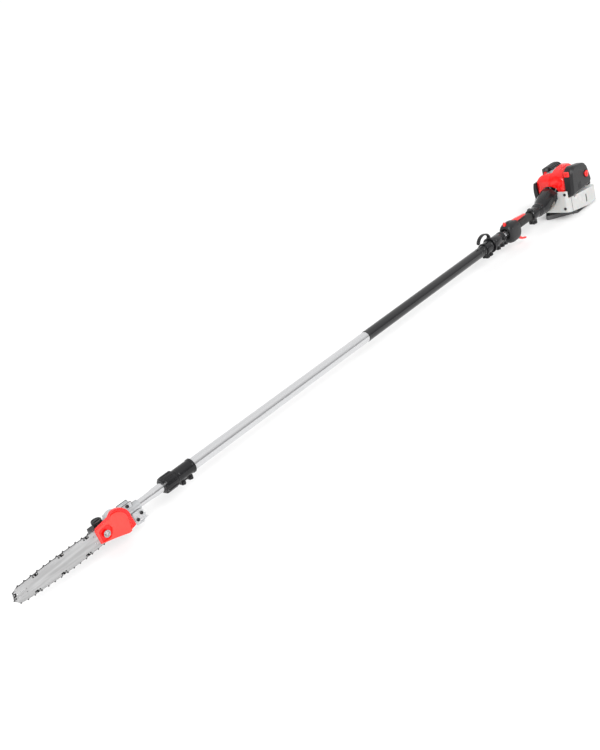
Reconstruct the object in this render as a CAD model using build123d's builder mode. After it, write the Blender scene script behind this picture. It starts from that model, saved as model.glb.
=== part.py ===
"""Petrol telescoping pole saw: saw head, two-stage pole, throttle handle and two-stroke engine.

Frame: +Z is up and +X runs along the pole from the saw to the engine. The origin is the centre
of the flat underside of the engine stand. All lengths are in millimetres.
"""
from build123d import *
import os
from math import acos, atan2, cos, hypot, pi, radians, sin

os.makedirs("parts", exist_ok=True)

# ---------------------------------------------------------------- driving dimensions
AXIS_Z = 80.0            # height of the pole axis above the stand's underside

# stations along the pole
SPROCKET_X = -2275.0     # output shaft of the saw head
STUD_X = SPROCKET_X - 52.0
BAR_NOSE_X = -2602.0
NECK_END_X = -2202.0     # where the head casting ends on the inner tube
KNOB_X0, KNOB_X1 = -2119.0, -2074.5
COLLAR_X0, COLLAR_X1 = -2074.0, -2010.0
OUTER_TUBE_X1 = -462.0
ENGINE_TUBE_X0, ENGINE_TUBE_X1 = -461.0, -196.0
INNER_TUBE_X1 = -920.0
SLEEVE_X0, SLEEVE_X1 = -1245.0, -590.0
HOOK_X0, HOOK_X1 = -562.0, -524.0
COUPLER_X0, COUPLER_X1 = -512.0, -424.0
HANDLE_X0, HANDLE_X1 = -422.0, -338.0
GRIP_X1 = -242.0
CLAMP_X0, CLAMP_X1 = -240.0, -172.0
CONE_X1 = -84.0
FAN_X0, FAN_X1 = -79.0, -50.0
CRANK_X = -10.0          # the cylinder's axis

# tubes and shafts
OUTER_R, INNER_R, WALL = 17.5, 13.0, 1.5
ENGINE_TUBE_R = 13.0     # tube of the throttle handle, between coupler and clutch
INNER_NECK_R = 11.0      # reduced end of the inner tube, held in the head casting
SLEEVE_R = 18.6
SHAFT_SIDE = 7.0         # square inner drive shaft
SPLINE_SIDE = 7.3        # square hole that it slides in
OUTER_SHAFT_R = 8.0
FIT = 0.05               # radial clearance of a running fit

# saw head
BAR_Y, BAR_T = -20.0, 4.0
BAR_Z = 2.0              # bar centreline above the pole axis
NOSE_Z = 4.5             # the bar tips up a little towards its nose
CHAIN_GAP, CHAIN_H, CHAIN_T = 0.6, 7.6, 5.2
COVER_FACE_Y, COVER_BACK_Y = -29.0, -14.5
GEAR_TEETH, PINION_TEETH, MODULE = 16, 12, 1.5
NOSE_TEETH, SPROCKET_TEETH = 9, 7

# engine
FAN_R = 62.0
DRUM_R = 28.0
BORE_R = 20.0
STROKE = 28.0


def pole_plane(x):
    """Plane across the pole at x: its x is the world's Y and its y is height above the pole."""
    return Plane((x, 0, AXIS_Z), x_dir=(0, 1, 0), z_dir=(1, 0, 0))


def side_plane(y):
    """Upright plane at y seen from the left: its x is the world's X, its y is height above the pole."""
    return Plane((0, y, AXIS_Z), x_dir=(1, 0, 0), z_dir=(0, -1, 0))


def level_plane(z):
    """Level plane at height z above the pole axis."""
    return Plane((0, 0, AXIS_Z + z), x_dir=(1, 0, 0), z_dir=(0, 0, 1))


def tube(x0, x1, outer, inner):
    """Round tube on the pole axis."""
    with BuildPart() as ring:
        with BuildSketch(pole_plane(x0)):
            Circle(outer)
            Circle(inner, mode=Mode.SUBTRACT)
        extrude(amount=x1 - x0)
    return ring.part


def cross_pin(x, z, y_left, y_right, radius):
    """Round pin across the pole at x and height z, from y_left to y_right."""
    with BuildPart() as pin:
        with BuildSketch(side_plane(y_right)):
            with Locations((x, z)):
                Circle(radius)
        extrude(amount=y_right - y_left)
    return pin.part


def bolt(x, z, y_left, y_right, shank, head_r, head_h):
    """Bolt across the pole with its round head outside y_left."""
    with BuildPart() as screw:
        with BuildSketch(side_plane(y_right)):
            with Locations((x, z)):
                Circle(shank)
        extrude(amount=y_right - y_left)
        with BuildSketch(side_plane(y_left)):
            with Locations((x, z)):
                Circle(head_r)
                RegularPolygon(head_r * 0.5, 6, mode=Mode.SUBTRACT)
        extrude(amount=head_h)
        with BuildSketch(side_plane(y_left)):
            with Locations((x, z)):
                Circle(head_r * 0.6)
        extrude(amount=head_h * 0.4)
    return screw.part


def toothed_points(teeth, tip, root, turn=0.0, tip_share=0.22, root_share=0.30):
    """Corners of a wheel with straight-flanked teeth. A tooth points at the angle turn (degrees)."""
    pitch = 2 * pi / teeth
    points = []
    for k in range(teeth):
        middle = radians(turn) + k * pitch
        for radius, share in ((root, -0.5 + root_share / 2), (tip, -tip_share / 2),
                              (tip, tip_share / 2), (root, 0.5 - root_share / 2)):
            points.append((radius * cos(middle + share * pitch), radius * sin(middle + share * pitch)))
    return points


# ================================================================ saw head
BAR_REAR_X = SPROCKET_X - 24.0
BAR_WIDEST_X = -2425.0
BAR_END_H, BAR_MID_H, BAR_NOSE_H = 20.0, 25.5, 20.5
BAR_SHOULDER_X = BAR_NOSE_X + 16.0


def bar_outline():
    """Guide bar outline in the bar's plane."""
    with BuildSketch(Plane.XY) as outline:
        with BuildLine():
            top = ThreePointArc((BAR_REAR_X, BAR_Z + BAR_END_H), (BAR_WIDEST_X, BAR_Z + BAR_MID_H),
                                (BAR_SHOULDER_X, NOSE_Z + BAR_NOSE_H))
            nose = ThreePointArc(top @ 1, (BAR_NOSE_X, NOSE_Z), (BAR_SHOULDER_X, NOSE_Z - BAR_NOSE_H))
            bottom = ThreePointArc(nose @ 1, (BAR_WIDEST_X, BAR_Z - BAR_MID_H),
                                   (BAR_REAR_X, BAR_Z - BAR_END_H))
            Line(bottom @ 1, top @ 0)
        make_face()
    return outline.sketch


def on_bar_plane(sketch, y):
    """A flat sketch moved to the upright plane at y."""
    return side_plane(y) * sketch


NOSE_X = BAR_NOSE_X + 20.0
NOSE_R, NOSE_TIP_R, NOSE_T = 15.0, 18.0, 1.3

with BuildPart() as guide_bar:
    add(extrude(on_bar_plane(bar_outline(), BAR_Y + BAR_T / 2), amount=BAR_T))
    with BuildSketch(side_plane(BAR_Y + BAR_T / 2)):
        with Locations((STUD_X, BAR_Z)):
            SlotCenterToCenter(34, 8.4)
        with Locations((STUD_X - 34, BAR_Z - 9)):
            Circle(2.2)
    extrude(amount=BAR_T, mode=Mode.SUBTRACT)
    with BuildSketch(side_plane(BAR_Y + NOSE_T / 2 + 0.3)):
        with Locations((NOSE_X - 8, NOSE_Z)):
            Rectangle(60, 60)
    extrude(amount=NOSE_T + 0.6, mode=Mode.SUBTRACT)
    with BuildSketch(side_plane(BAR_Y + BAR_T / 2)):
        with Locations((NOSE_X, NOSE_Z)):
            Circle(3.4)
    extrude(amount=BAR_T)
guide_bar.part.label = "guide_bar"
export_step(guide_bar.part, "parts/guide_bar.step")

with BuildPart() as nose_sprocket:
    with BuildSketch(side_plane(BAR_Y + NOSE_T / 2)) as nose_disc:
        with Locations((NOSE_X, NOSE_Z)):
            Polygon(*toothed_points(NOSE_TEETH, NOSE_TIP_R, NOSE_R), align=None)
            Circle(3.4 + FIT, mode=Mode.SUBTRACT)
    extrude(amount=NOSE_T)
nose_sprocket.part.label = "nose_sprocket"
export_step(nose_sprocket.part, "parts/nose_sprocket.step")

SPROCKET_TIP_R, SPROCKET_ROOT_R = 14.2, 11.0


def tangent_point(x, z, radius, side):
    """Where a straight run from (x, z) meets a circle round the drive sprocket."""
    reach = hypot(x - SPROCKET_X, z)
    turn = atan2(z, x - SPROCKET_X) - side * acos(radius / reach)
    return SPROCKET_X + radius * cos(turn), radius * sin(turn)


def chain_outline(gap):
    """Closed path of the chain round the bar and the sprocket, gap outside them."""
    round_r = SPROCKET_TIP_R + 0.4 + gap
    end_top = (BAR_REAR_X, BAR_Z + BAR_END_H + gap)
    end_bottom = (BAR_REAR_X, BAR_Z - BAR_END_H - gap)
    with BuildSketch(Plane.XY) as path:
        with BuildLine():
            top = ThreePointArc(end_top, (BAR_WIDEST_X, BAR_Z + BAR_MID_H + gap),
                                (BAR_SHOULDER_X, NOSE_Z + BAR_NOSE_H + gap))
            nose = ThreePointArc(top @ 1, (BAR_NOSE_X - gap, NOSE_Z),
                                 (BAR_SHOULDER_X, NOSE_Z - BAR_NOSE_H - gap))
            ThreePointArc(nose @ 1, (BAR_WIDEST_X, BAR_Z - BAR_MID_H - gap), end_bottom)
            lower = Line(end_bottom, tangent_point(*end_bottom, round_r, -1))
            upper = Line(end_top, tangent_point(*end_top, round_r, 1))
            ThreePointArc(lower @ 1, (SPROCKET_X + round_r, 0), upper @ 1)
        make_face()
    return path.sketch


with BuildPart() as saw_chain:
    add(extrude(on_bar_plane(chain_outline(CHAIN_GAP + CHAIN_H), BAR_Y + CHAIN_T / 2), amount=CHAIN_T))
    add(extrude(on_bar_plane(chain_outline(CHAIN_GAP), BAR_Y + CHAIN_T / 2), amount=CHAIN_T),
        mode=Mode.SUBTRACT)
saw_chain.part.label = "saw_chain"
export_step(saw_chain.part, "parts/saw_chain.step")

SHAFT_R = 4.0
SHAFT_Y0, SHAFT_Y1 = -26.0, 24.0

with BuildPart() as drive_sprocket:
    with BuildSketch(side_plane(BAR_Y + 1.5)):
        with Locations((SPROCKET_X, 0)):
            Polygon(*toothed_points(SPROCKET_TEETH, SPROCKET_TIP_R, SPROCKET_ROOT_R), align=None)
    extrude(amount=3.0)
    with BuildSketch(side_plane(BAR_Y + 3.0)):
        with Locations((SPROCKET_X, 0)):
            Circle(9.0)
    extrude(amount=6.0)
    with BuildSketch(side_plane(BAR_Y + 5.0)):
        with Locations((SPROCKET_X, 0)):
            Circle(SHAFT_R)
    extrude(amount=20.0, mode=Mode.SUBTRACT)
drive_sprocket.part.label = "drive_sprocket"
export_step(drive_sprocket.part, "parts/drive_sprocket.step")

# bevel pair: both cones meet where the pole axis crosses the output shaft
PINION_PITCH_R = MODULE * PINION_TEETH / 2
GEAR_PITCH_R = MODULE * GEAR_TEETH / 2
FACE_SHARE = 0.62        # inner end of the teeth, as a share of the outer cone
ADDENDUM, DEDENDUM = 1.1, 1.7


def bevel_points(teeth, pitch_r, turn):
    """Tooth corners at the outer end of a bevel gear."""
    return toothed_points(teeth, pitch_r + ADDENDUM, pitch_r - DEDENDUM, turn, 0.18, 0.34)


def bevel_wheel(teeth, pitch_r, distance, turn, place):
    """Bevel teeth between two planes given by place(distance from the apex)."""
    with BuildPart() as wheel:
        for share in (1.0, FACE_SHARE):
            with BuildSketch(place(distance * share)):
                Polygon(*[(share * px, share * py) for px, py in bevel_points(teeth, pitch_r, turn)],
                        align=None)
        loft(ruled=True)
    return wheel.part


def pinion_place(distance):
    return pole_plane(SPROCKET_X + distance)


def gear_place(distance):
    return Plane((SPROCKET_X, distance, AXIS_Z), x_dir=(1, 0, 0), z_dir=(0, 1, 0))


with BuildPart() as bevel_pinion:
    add(bevel_wheel(PINION_TEETH, PINION_PITCH_R, GEAR_PITCH_R, 0.0, pinion_place))
    with BuildSketch(pinion_place(GEAR_PITCH_R)):
        Circle(6.0)
    extrude(amount=34.0)
    with BuildSketch(pinion_place(GEAR_PITCH_R + 6.0)):
        Rectangle(SHAFT_SIDE, SHAFT_SIDE)
    extrude(amount=40.0, mode=Mode.SUBTRACT)
bevel_pinion.part.label = "bevel_pinion"
export_step(bevel_pinion.part, "parts/bevel_pinion.step")

with BuildPart() as gear_shaft:
    add(bevel_wheel(GEAR_TEETH, GEAR_PITCH_R, PINION_PITCH_R, 180.0 / GEAR_TEETH, gear_place))
    with BuildSketch(gear_place(PINION_PITCH_R)):
        Circle(GEAR_PITCH_R - DEDENDUM)
    extrude(amount=4.0)
    add(cross_pin(SPROCKET_X, 0, SHAFT_Y0, SHAFT_Y1, SHAFT_R))
gear_shaft.part.label = "gear_shaft"
export_step(gear_shaft.part, "parts/gear_shaft.step")

BEARING_Y = ((-13.9, -10.2, 9.0), (15.0, 21.0, 11.0))
PINION_BEARING_X = (SPROCKET_X + 20.0, SPROCKET_X + 34.0)
PINION_BEARING_W, PINION_BEARING_R = 7.0, 10.5

with BuildPart() as head_bearings:
    for y_left, y_right, radius in BEARING_Y:
        with BuildSketch(side_plane(y_right)):
            with Locations((SPROCKET_X, 0)):
                Circle(radius)
                Circle(SHAFT_R + FIT, mode=Mode.SUBTRACT)
        extrude(amount=y_right - y_left)
    for x in PINION_BEARING_X:
        with BuildSketch(pole_plane(x)):
            Circle(PINION_BEARING_R)
            Circle(6.0 + FIT, mode=Mode.SUBTRACT)
        extrude(amount=PINION_BEARING_W)
head_bearings.part.label = "head_bearings"
export_step(head_bearings.part, "parts/head_bearings.step")

HOUSING_Y0, HOUSING_Y1 = -14.0, 25.0
HOUSING_R = 22.5
COVER_SCREW_PCR, COVER_SCREW_R = 19.6, 1.5
NECK_R = 14.3
LUG_Z0, LUG_Z1 = -30.0, -8.0
HOOK_PLATE_T, HOOK_PLATE_Y = 3.0, -16.0
HOOK_PLATE_BOLTS = ((SPROCKET_X + 46, -25.0), (SPROCKET_X + 62, -14.0))

with BuildPart() as gear_housing:
    with BuildSketch(side_plane(HOUSING_Y1)):
        with Locations((SPROCKET_X, 0)):
            Circle(HOUSING_R)
    extrude(amount=HOUSING_Y1 - HOUSING_Y0)
    with BuildSketch(side_plane(2.0)):
        with Locations((STUD_X + 8, 2)):
            RectangleRounded(60, 26, 6)
    extrude(amount=2.0 - HOUSING_Y0)
    with BuildSketch(pole_plane(SPROCKET_X + 10)):
        Circle(NECK_R)
    extrude(amount=12.0)
    with BuildSketch(pole_plane(SPROCKET_X + 20)):
        Circle(NECK_R)
    extrude(amount=NECK_END_X - SPROCKET_X - 20)
    # clamp ears on top of the neck and the lug of the hook plate below it
    with BuildSketch(side_plane(8.0)):
        with Locations((SPROCKET_X + 34, NECK_R + 5)):
            RectangleRounded(34, 15, 4)
    extrude(amount=18.0)
    with BuildSketch(side_plane(8.0)):
        with Locations((SPROCKET_X + 53, (LUG_Z0 + LUG_Z1) / 2)):
            Rectangle(32, LUG_Z1 - LUG_Z0)
    extrude(amount=8.0 - HOOK_PLATE_Y)
    # gear chamber, shaft bores and the socket of the inner tube
    with BuildSketch(side_plane(15.0)):
        with Locations((SPROCKET_X, 0)):
            Circle(16.5)
    extrude(amount=25.2, mode=Mode.SUBTRACT)
    for y_left, y_right, radius in BEARING_Y:
        add(cross_pin(SPROCKET_X, 0, y_left - 0.2, y_right + 4.1, radius), mode=Mode.SUBTRACT)
    with BuildSketch(pole_plane(SPROCKET_X)):
        Circle(PINION_BEARING_R)
    extrude(amount=49.0, mode=Mode.SUBTRACT)
    with BuildSketch(pole_plane(SPROCKET_X + 49.0)):
        Circle(INNER_NECK_R)
    extrude(amount=60.0, mode=Mode.SUBTRACT)
    # saw kerf between the clamp ears, threaded holes for the studs and screws
    with BuildSketch(side_plane(0.8)):
        with Locations((SPROCKET_X + 52, NECK_R + 6)):
            Rectangle(44, 20)
    extrude(amount=1.6, mode=Mode.SUBTRACT)
    add(cross_pin(STUD_X, BAR_Z, -15.0, 3.0, 4.0), mode=Mode.SUBTRACT)
    add(cross_pin(SPROCKET_X + 36, NECK_R + 6, -11.0, 9.0, 2.5), mode=Mode.SUBTRACT)
    for x, z in HOOK_PLATE_BOLTS:
        add(cross_pin(x, z, HOOK_PLATE_Y - 1, 4.0, 2.5), mode=Mode.SUBTRACT)
    for angle in (45, 135, 225, 315):
        add(cross_pin(SPROCKET_X + COVER_SCREW_PCR * cos(radians(angle)),
                      COVER_SCREW_PCR * sin(radians(angle)), 12.0, 26.0, COVER_SCREW_R),
            mode=Mode.SUBTRACT)
gear_housing.part.label = "gear_housing"
export_step(gear_housing.part, "parts/gear_housing.step")

with BuildPart() as housing_cover:
    with BuildSketch(side_plane(HOUSING_Y1 + 5.0)):
        with Locations((SPROCKET_X, 0)):
            Circle(HOUSING_R)
            with PolarLocations(COVER_SCREW_PCR, 4, start_angle=45):
                Circle(COVER_SCREW_R, mode=Mode.SUBTRACT)
    extrude(amount=5.0)
housing_cover.part.label = "housing_cover"
export_step(housing_cover.part, "parts/housing_cover.step")

with BuildPart() as hook_plate:
    with BuildSketch(side_plane(HOOK_PLATE_Y)):
        with BuildLine():
            Polyline((SPROCKET_X + 37, -3), (SPROCKET_X + 64, -3), (SPROCKET_X + 71, -10),
                     (SPROCKET_X + 68, -18), (SPROCKET_X + 75, -21), (SPROCKET_X + 71, -27),
                     (SPROCKET_X + 79, -34), (SPROCKET_X + 66, -36), (SPROCKET_X + 60, -41),
                     (SPROCKET_X + 40, -39), (SPROCKET_X + 37, -3))
        make_face()
        with Locations(*HOOK_PLATE_BOLTS):
            Circle(2.5, mode=Mode.SUBTRACT)
        with Locations((SPROCKET_X + 58, -33)):
            SlotOverall(14, 4, mode=Mode.SUBTRACT)
    extrude(amount=HOOK_PLATE_T)
hook_plate.part.label = "hook_plate"
export_step(hook_plate.part, "parts/hook_plate.step")

with BuildPart() as head_bolts:
    for x, z in HOOK_PLATE_BOLTS:
        add(bolt(x, z, HOOK_PLATE_Y - HOOK_PLATE_T, 4.0, 2.5, 4.6, 4.0))
    add(bolt(SPROCKET_X + 36, NECK_R + 6, -10.0, 8.0, 2.5, 4.6, 4.0))
    add(cross_pin(STUD_X, BAR_Z, -34.0, 2.0, 4.0))
    for angle in (45, 135, 225, 315):
        with BuildSketch(side_plane(HOUSING_Y1 + 8.0)):
            with Locations((SPROCKET_X + COVER_SCREW_PCR * cos(radians(angle)),
                            COVER_SCREW_PCR * sin(radians(angle)))):
                Circle(2.8)
        extrude(amount=3.0)
        add(cross_pin(SPROCKET_X + COVER_SCREW_PCR * cos(radians(angle)),
                      COVER_SCREW_PCR * sin(radians(angle)), 12.0, HOUSING_Y1 + 5.0, COVER_SCREW_R))
head_bolts.part.label = "head_bolts"
export_step(head_bolts.part, "parts/head_bolts.step")

# sprocket cover, open towards the gear housing and at its front, where bar and chain leave it
COVER_WALL = 2.0


def cover_outline(inset):
    """Side view of the sprocket cover, moved inwards by inset."""
    front, rear = SPROCKET_X - 78, SPROCKET_X + 30
    with BuildSketch(Plane.XY) as outline:
        with BuildLine():
            edge = Line((front + 4, -16), (front, 25))
            step = Line(edge @ 1, (SPROCKET_X - 30, 33))
            corner = Line(step @ 1, (SPROCKET_X - 18, 42))
            crown = ThreePointArc(corner @ 1, (SPROCKET_X + 17, 31), (rear, -2))
            back = Line(crown @ 1, (rear + 5, -31))
            foot = Line(back @ 1, (SPROCKET_X + 5, -38))
            ThreePointArc(foot @ 1, (SPROCKET_X - 28, -27.5), edge @ 0)
        make_face()
        if inset:
            offset(amount=-inset, kind=Kind.ARC)
    return outline.sketch


with BuildPart() as sprocket_cover:
    add(extrude(on_bar_plane(cover_outline(0), COVER_BACK_Y), amount=COVER_BACK_Y - COVER_FACE_Y))
    add(extrude(on_bar_plane(cover_outline(COVER_WALL), COVER_BACK_Y),
                amount=COVER_BACK_Y - COVER_FACE_Y - COVER_WALL), mode=Mode.SUBTRACT)
    with BuildSketch(side_plane(COVER_BACK_Y)):
        with Locations((SPROCKET_X - 70, 4)):
            Rectangle(30, 84)
    extrude(amount=COVER_BACK_Y - COVER_FACE_Y - COVER_WALL, mode=Mode.SUBTRACT)
    add(extrude(on_bar_plane(chain_outline(CHAIN_GAP + CHAIN_H + 1.2), COVER_BACK_Y + 1),
                amount=COVER_BACK_Y + 1 - BAR_Y + CHAIN_T / 2 + 1.0), mode=Mode.SUBTRACT)
    add(cross_pin(STUD_X, BAR_Z, COVER_FACE_Y + 1, BAR_Y - BAR_T / 2, 8.5))
    add(cross_pin(STUD_X, BAR_Z, COVER_FACE_Y - 2, BAR_Y, 4.2), mode=Mode.SUBTRACT)
sprocket_cover.part.label = "sprocket_cover"
export_step(sprocket_cover.part, "parts/sprocket_cover.step")

with BuildPart() as bar_nut:
    with BuildSketch(side_plane(COVER_FACE_Y)):
        with Locations((STUD_X, BAR_Z)):
            Circle(10.0)
    extrude(amount=1.8)
    with BuildSketch(side_plane(COVER_FACE_Y - 1.8)):
        with Locations((STUD_X, BAR_Z)):
            RegularPolygon(7.5, 6)
    extrude(amount=6.0)
    add(cross_pin(STUD_X, BAR_Z, -50.0, 0.0, 4.0), mode=Mode.SUBTRACT)
bar_nut.part.label = "bar_nut"
export_step(bar_nut.part, "parts/bar_nut.step")

# bar oil tank behind the bar, with its screw cap on top
OIL_TANK_X0, OIL_TANK_X1, OIL_TANK_Y0, OIL_TANK_Y1 = -2347.0, -2300.0, 2.5, 31.0
OIL_TANK_Z0, OIL_TANK_Z1 = -22.0, 12.0
OIL_CAP_X, OIL_CAP_Y, OIL_CAP_R = -2320.0, 15.0, 14.5
OIL_TANK_MID = ((OIL_TANK_X0 + OIL_TANK_X1) / 2, (OIL_TANK_Y0 + OIL_TANK_Y1) / 2)
OIL_TANK_L, OIL_TANK_W = OIL_TANK_X1 - OIL_TANK_X0, OIL_TANK_Y1 - OIL_TANK_Y0

with BuildPart() as oil_tank:
    with BuildSketch(level_plane(OIL_TANK_Z0)):
        with Locations(OIL_TANK_MID):
            RectangleRounded(OIL_TANK_L, OIL_TANK_W, 6)
    extrude(amount=OIL_TANK_Z1 - OIL_TANK_Z0)
    with BuildSketch(level_plane(OIL_TANK_Z1)):
        with Locations((OIL_CAP_X, OIL_CAP_Y)):
            Circle(11.0)
    extrude(amount=7.0)
    with BuildSketch(level_plane(OIL_TANK_Z0 + 2.5)):
        with Locations(OIL_TANK_MID):
            RectangleRounded(OIL_TANK_L - 5, OIL_TANK_W - 5, 4)
    extrude(amount=OIL_TANK_Z1 - OIL_TANK_Z0 - 5.0, mode=Mode.SUBTRACT)
    with BuildSketch(level_plane(0)):
        with Locations((OIL_CAP_X, OIL_CAP_Y)):
            Circle(8.0)
    extrude(amount=30.0, mode=Mode.SUBTRACT)
oil_tank.part.label = "oil_tank"
export_step(oil_tank.part, "parts/oil_tank.step")

with BuildPart() as oil_cap:
    with BuildSketch(level_plane(OIL_TANK_Z1 + 7.3)):
        with Locations((OIL_CAP_X, OIL_CAP_Y)):
            Circle(OIL_CAP_R)
            with PolarLocations(OIL_CAP_R + 0.7, 14):
                Circle(1.6, mode=Mode.SUBTRACT)
    extrude(amount=8.0)
    with BuildSketch(level_plane(OIL_TANK_Z1)):
        with Locations((OIL_CAP_X, OIL_CAP_Y)):
            Circle(7.7)
    extrude(amount=8.0)
oil_cap.part.label = "oil_cap"
export_step(oil_cap.part, "parts/oil_cap.step")

# ================================================================ pole
SWELL_X0, SWELL_X1 = -2169.0, -2142.0

with BuildPart() as inner_tube:
    with BuildSketch(Plane((0, 0, AXIS_Z), x_dir=(1, 0, 0), z_dir=(0, -1, 0))):
        with BuildLine():
            Polyline((SPROCKET_X + 49, INNER_NECK_R), (SWELL_X0, INNER_NECK_R), (SWELL_X1, INNER_R),
                     (INNER_TUBE_X1, INNER_R), (INNER_TUBE_X1, INNER_R - WALL),
                     (SWELL_X1, INNER_R - WALL), (SWELL_X0, INNER_NECK_R - WALL),
                     (SPROCKET_X + 49, INNER_NECK_R - WALL), (SPROCKET_X + 49, INNER_NECK_R))
        make_face()
    revolve(axis=Axis((0, 0, AXIS_Z), (1, 0, 0)))
inner_tube.part.label = "inner_tube"
export_step(inner_tube.part, "parts/inner_tube.step")

with BuildPart() as inner_drive_shaft:
    with BuildSketch(pole_plane(SPROCKET_X + 18.0)):
        Rectangle(SHAFT_SIDE, SHAFT_SIDE)
    extrude(amount=-890.0 - SPROCKET_X - 18.0)
inner_drive_shaft.part.label = "inner_drive_shaft"
export_step(inner_drive_shaft.part, "parts/inner_drive_shaft.step")

with BuildPart() as outer_tube:
    add(tube(COLLAR_X0 + 3.0, OUTER_TUBE_X1, OUTER_R, OUTER_R - WALL))
outer_tube.part.label = "outer_tube"
export_step(outer_tube.part, "parts/outer_tube.step")

with BuildPart() as engine_tube:
    add(tube(ENGINE_TUBE_X0, ENGINE_TUBE_X1, ENGINE_TUBE_R, ENGINE_TUBE_R - WALL))
engine_tube.part.label = "engine_tube"
export_step(engine_tube.part, "parts/engine_tube.step")

with BuildPart() as outer_drive_shaft:
    with BuildSketch(pole_plane(-1990.0)):
        Circle(OUTER_SHAFT_R)
        Rectangle(SPLINE_SIDE, SPLINE_SIDE, mode=Mode.SUBTRACT)
    extrude(amount=-165.0 + 1990.0)
outer_drive_shaft.part.label = "outer_drive_shaft"
export_step(outer_drive_shaft.part, "parts/outer_drive_shaft.step")

with BuildPart() as shaft_bushes:
    for x in (-860.0, -640.0):
        add(tube(x, x + 22.0, OUTER_R - WALL, OUTER_SHAFT_R + FIT))
    add(tube(-340.0, -318.0, ENGINE_TUBE_R - WALL, OUTER_SHAFT_R + FIT))
shaft_bushes.part.label = "shaft_bushes"
export_step(shaft_bushes.part, "parts/shaft_bushes.step")

with BuildPart() as grip_sleeve:
    add(tube(SLEEVE_X0, SLEEVE_X1, SLEEVE_R, OUTER_R))
grip_sleeve.part.label = "grip_sleeve"
export_step(grip_sleeve.part, "parts/grip_sleeve.step")

COLLAR_R = 19.8
COLLAR_BOLT_X = (-2056.0, -2029.0)
COLLAR_BOLT_Z = -26.5

with BuildPart() as lock_collar:
    with BuildSketch(pole_plane(COLLAR_X0)):
        Circle(COLLAR_R)
    extrude(amount=COLLAR_X1 - COLLAR_X0)
    with BuildSketch(pole_plane(COLLAR_X1 - 7.0)):
        Circle(COLLAR_R + 1.6)
    extrude(amount=7.0)
    with BuildSketch(side_plane(8.0)):
        with Locations((sum(COLLAR_BOLT_X) / 2, -22.0)):
            RectangleRounded(44, 22, 5)
    extrude(amount=16.0)
    with BuildSketch(pole_plane(COLLAR_X0 + 3.0)):
        Circle(OUTER_R)
    extrude(amount=80.0, mode=Mode.SUBTRACT)
    with BuildSketch(pole_plane(COLLAR_X0 - 1.0)):
        Circle(INNER_R + 0.4)
    extrude(amount=8.0, mode=Mode.SUBTRACT)
    with BuildSketch(side_plane(0.8)):
        with Locations((sum(COLLAR_BOLT_X) / 2 + 2, -27.0)):
            Rectangle(58, 20)
    extrude(amount=1.6, mode=Mode.SUBTRACT)
    for x in COLLAR_BOLT_X:
        add(cross_pin(x, COLLAR_BOLT_Z, -9.0, 9.0, 2.5), mode=Mode.SUBTRACT)
lock_collar.part.label = "lock_collar"
export_step(lock_collar.part, "parts/lock_collar.step")

KNOB_R = 24.5
KNOB_RIBS = 12

with BuildPart() as lock_knob:
    with BuildSketch(pole_plane(KNOB_X0)):
        Circle(KNOB_R)
        with PolarLocations(KNOB_R + 1.6, KNOB_RIBS):
            Circle(3.2, mode=Mode.SUBTRACT)
        Circle(INNER_R + 0.4, mode=Mode.SUBTRACT)
    extrude(amount=KNOB_X1 - KNOB_X0)
lock_knob.part.label = "lock_knob"
export_step(lock_knob.part, "parts/lock_knob.step")

# harness clamp with its open hook
HOOK_BOLT_Z = -27.0
CLAMP_PLATE_R = 23.0

with BuildPart() as hook_clamp:
    with BuildSketch(pole_plane(HOOK_X0)):
        Circle(CLAMP_PLATE_R)
        with Locations((0, -24.0)):
            Rectangle(22, 18)
        Circle(OUTER_R, mode=Mode.SUBTRACT)
        with Locations((0, -27.0)):
            Rectangle(2, 26, mode=Mode.SUBTRACT)
    extrude(amount=HOOK_X1 - HOOK_X0)
    for x in (HOOK_X0 + 9.0, HOOK_X1 - 9.0):
        add(cross_pin(x, HOOK_BOLT_Z, -20.0, 20.0, 2.5), mode=Mode.SUBTRACT)
hook_clamp.part.label = "hook_clamp"
export_step(hook_clamp.part, "parts/hook_clamp.step")

HOOK_X = HOOK_X1 + 5.0
HOOK_EYE_X, HOOK_EYE_Z, HOOK_ROD_R = HOOK_X - 33.0, 28.0, 5.0
HOOK_EYE_L, HOOK_EYE_H = 34.0, 24.0      # half length and half height of the hook's bow
HOOK_START, HOOK_END = -10.0, 165.0


def hook_point(angle):
    """Point of the bow's centreline, in the upright plane on the pole axis."""
    return HOOK_EYE_X + HOOK_EYE_L * cos(radians(angle)), HOOK_EYE_Z + HOOK_EYE_H * sin(radians(angle))


with BuildPart() as harness_hook:
    with BuildLine(side_plane(0)) as bow:
        EllipticalCenterArc((HOOK_EYE_X, HOOK_EYE_Z), HOOK_EYE_L, HOOK_EYE_H, start_angle=HOOK_START,
                            arc_size=HOOK_END - HOOK_START)
    with BuildSketch(Plane(origin=bow.line @ 0, z_dir=bow.line % 0)):
        Circle(HOOK_ROD_R)
    sweep()
    with Locations((hook_point(HOOK_END)[0], 0, AXIS_Z + hook_point(HOOK_END)[1])):
        Sphere(HOOK_ROD_R + 1.5)
    with BuildSketch(pole_plane(HOOK_X1)):
        with Locations((0, 22.0)):
            Rectangle(14, 16)
        Circle(CLAMP_PLATE_R + 5.0)
        Circle(OUTER_R, mode=Mode.SUBTRACT)
    extrude(amount=8.0)
harness_hook.part.label = "harness_hook"
export_step(harness_hook.part, "parts/harness_hook.step")

COUPLER_R = 21.0
COUPLER_BOLT_X = (COUPLER_X0 + 34.0, COUPLER_X0 + 60.0, COUPLER_X1 - 7.0)
COUPLER_BOLT_Z = -28.0
LOCATING_X = COUPLER_X1 - 26.0

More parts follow.
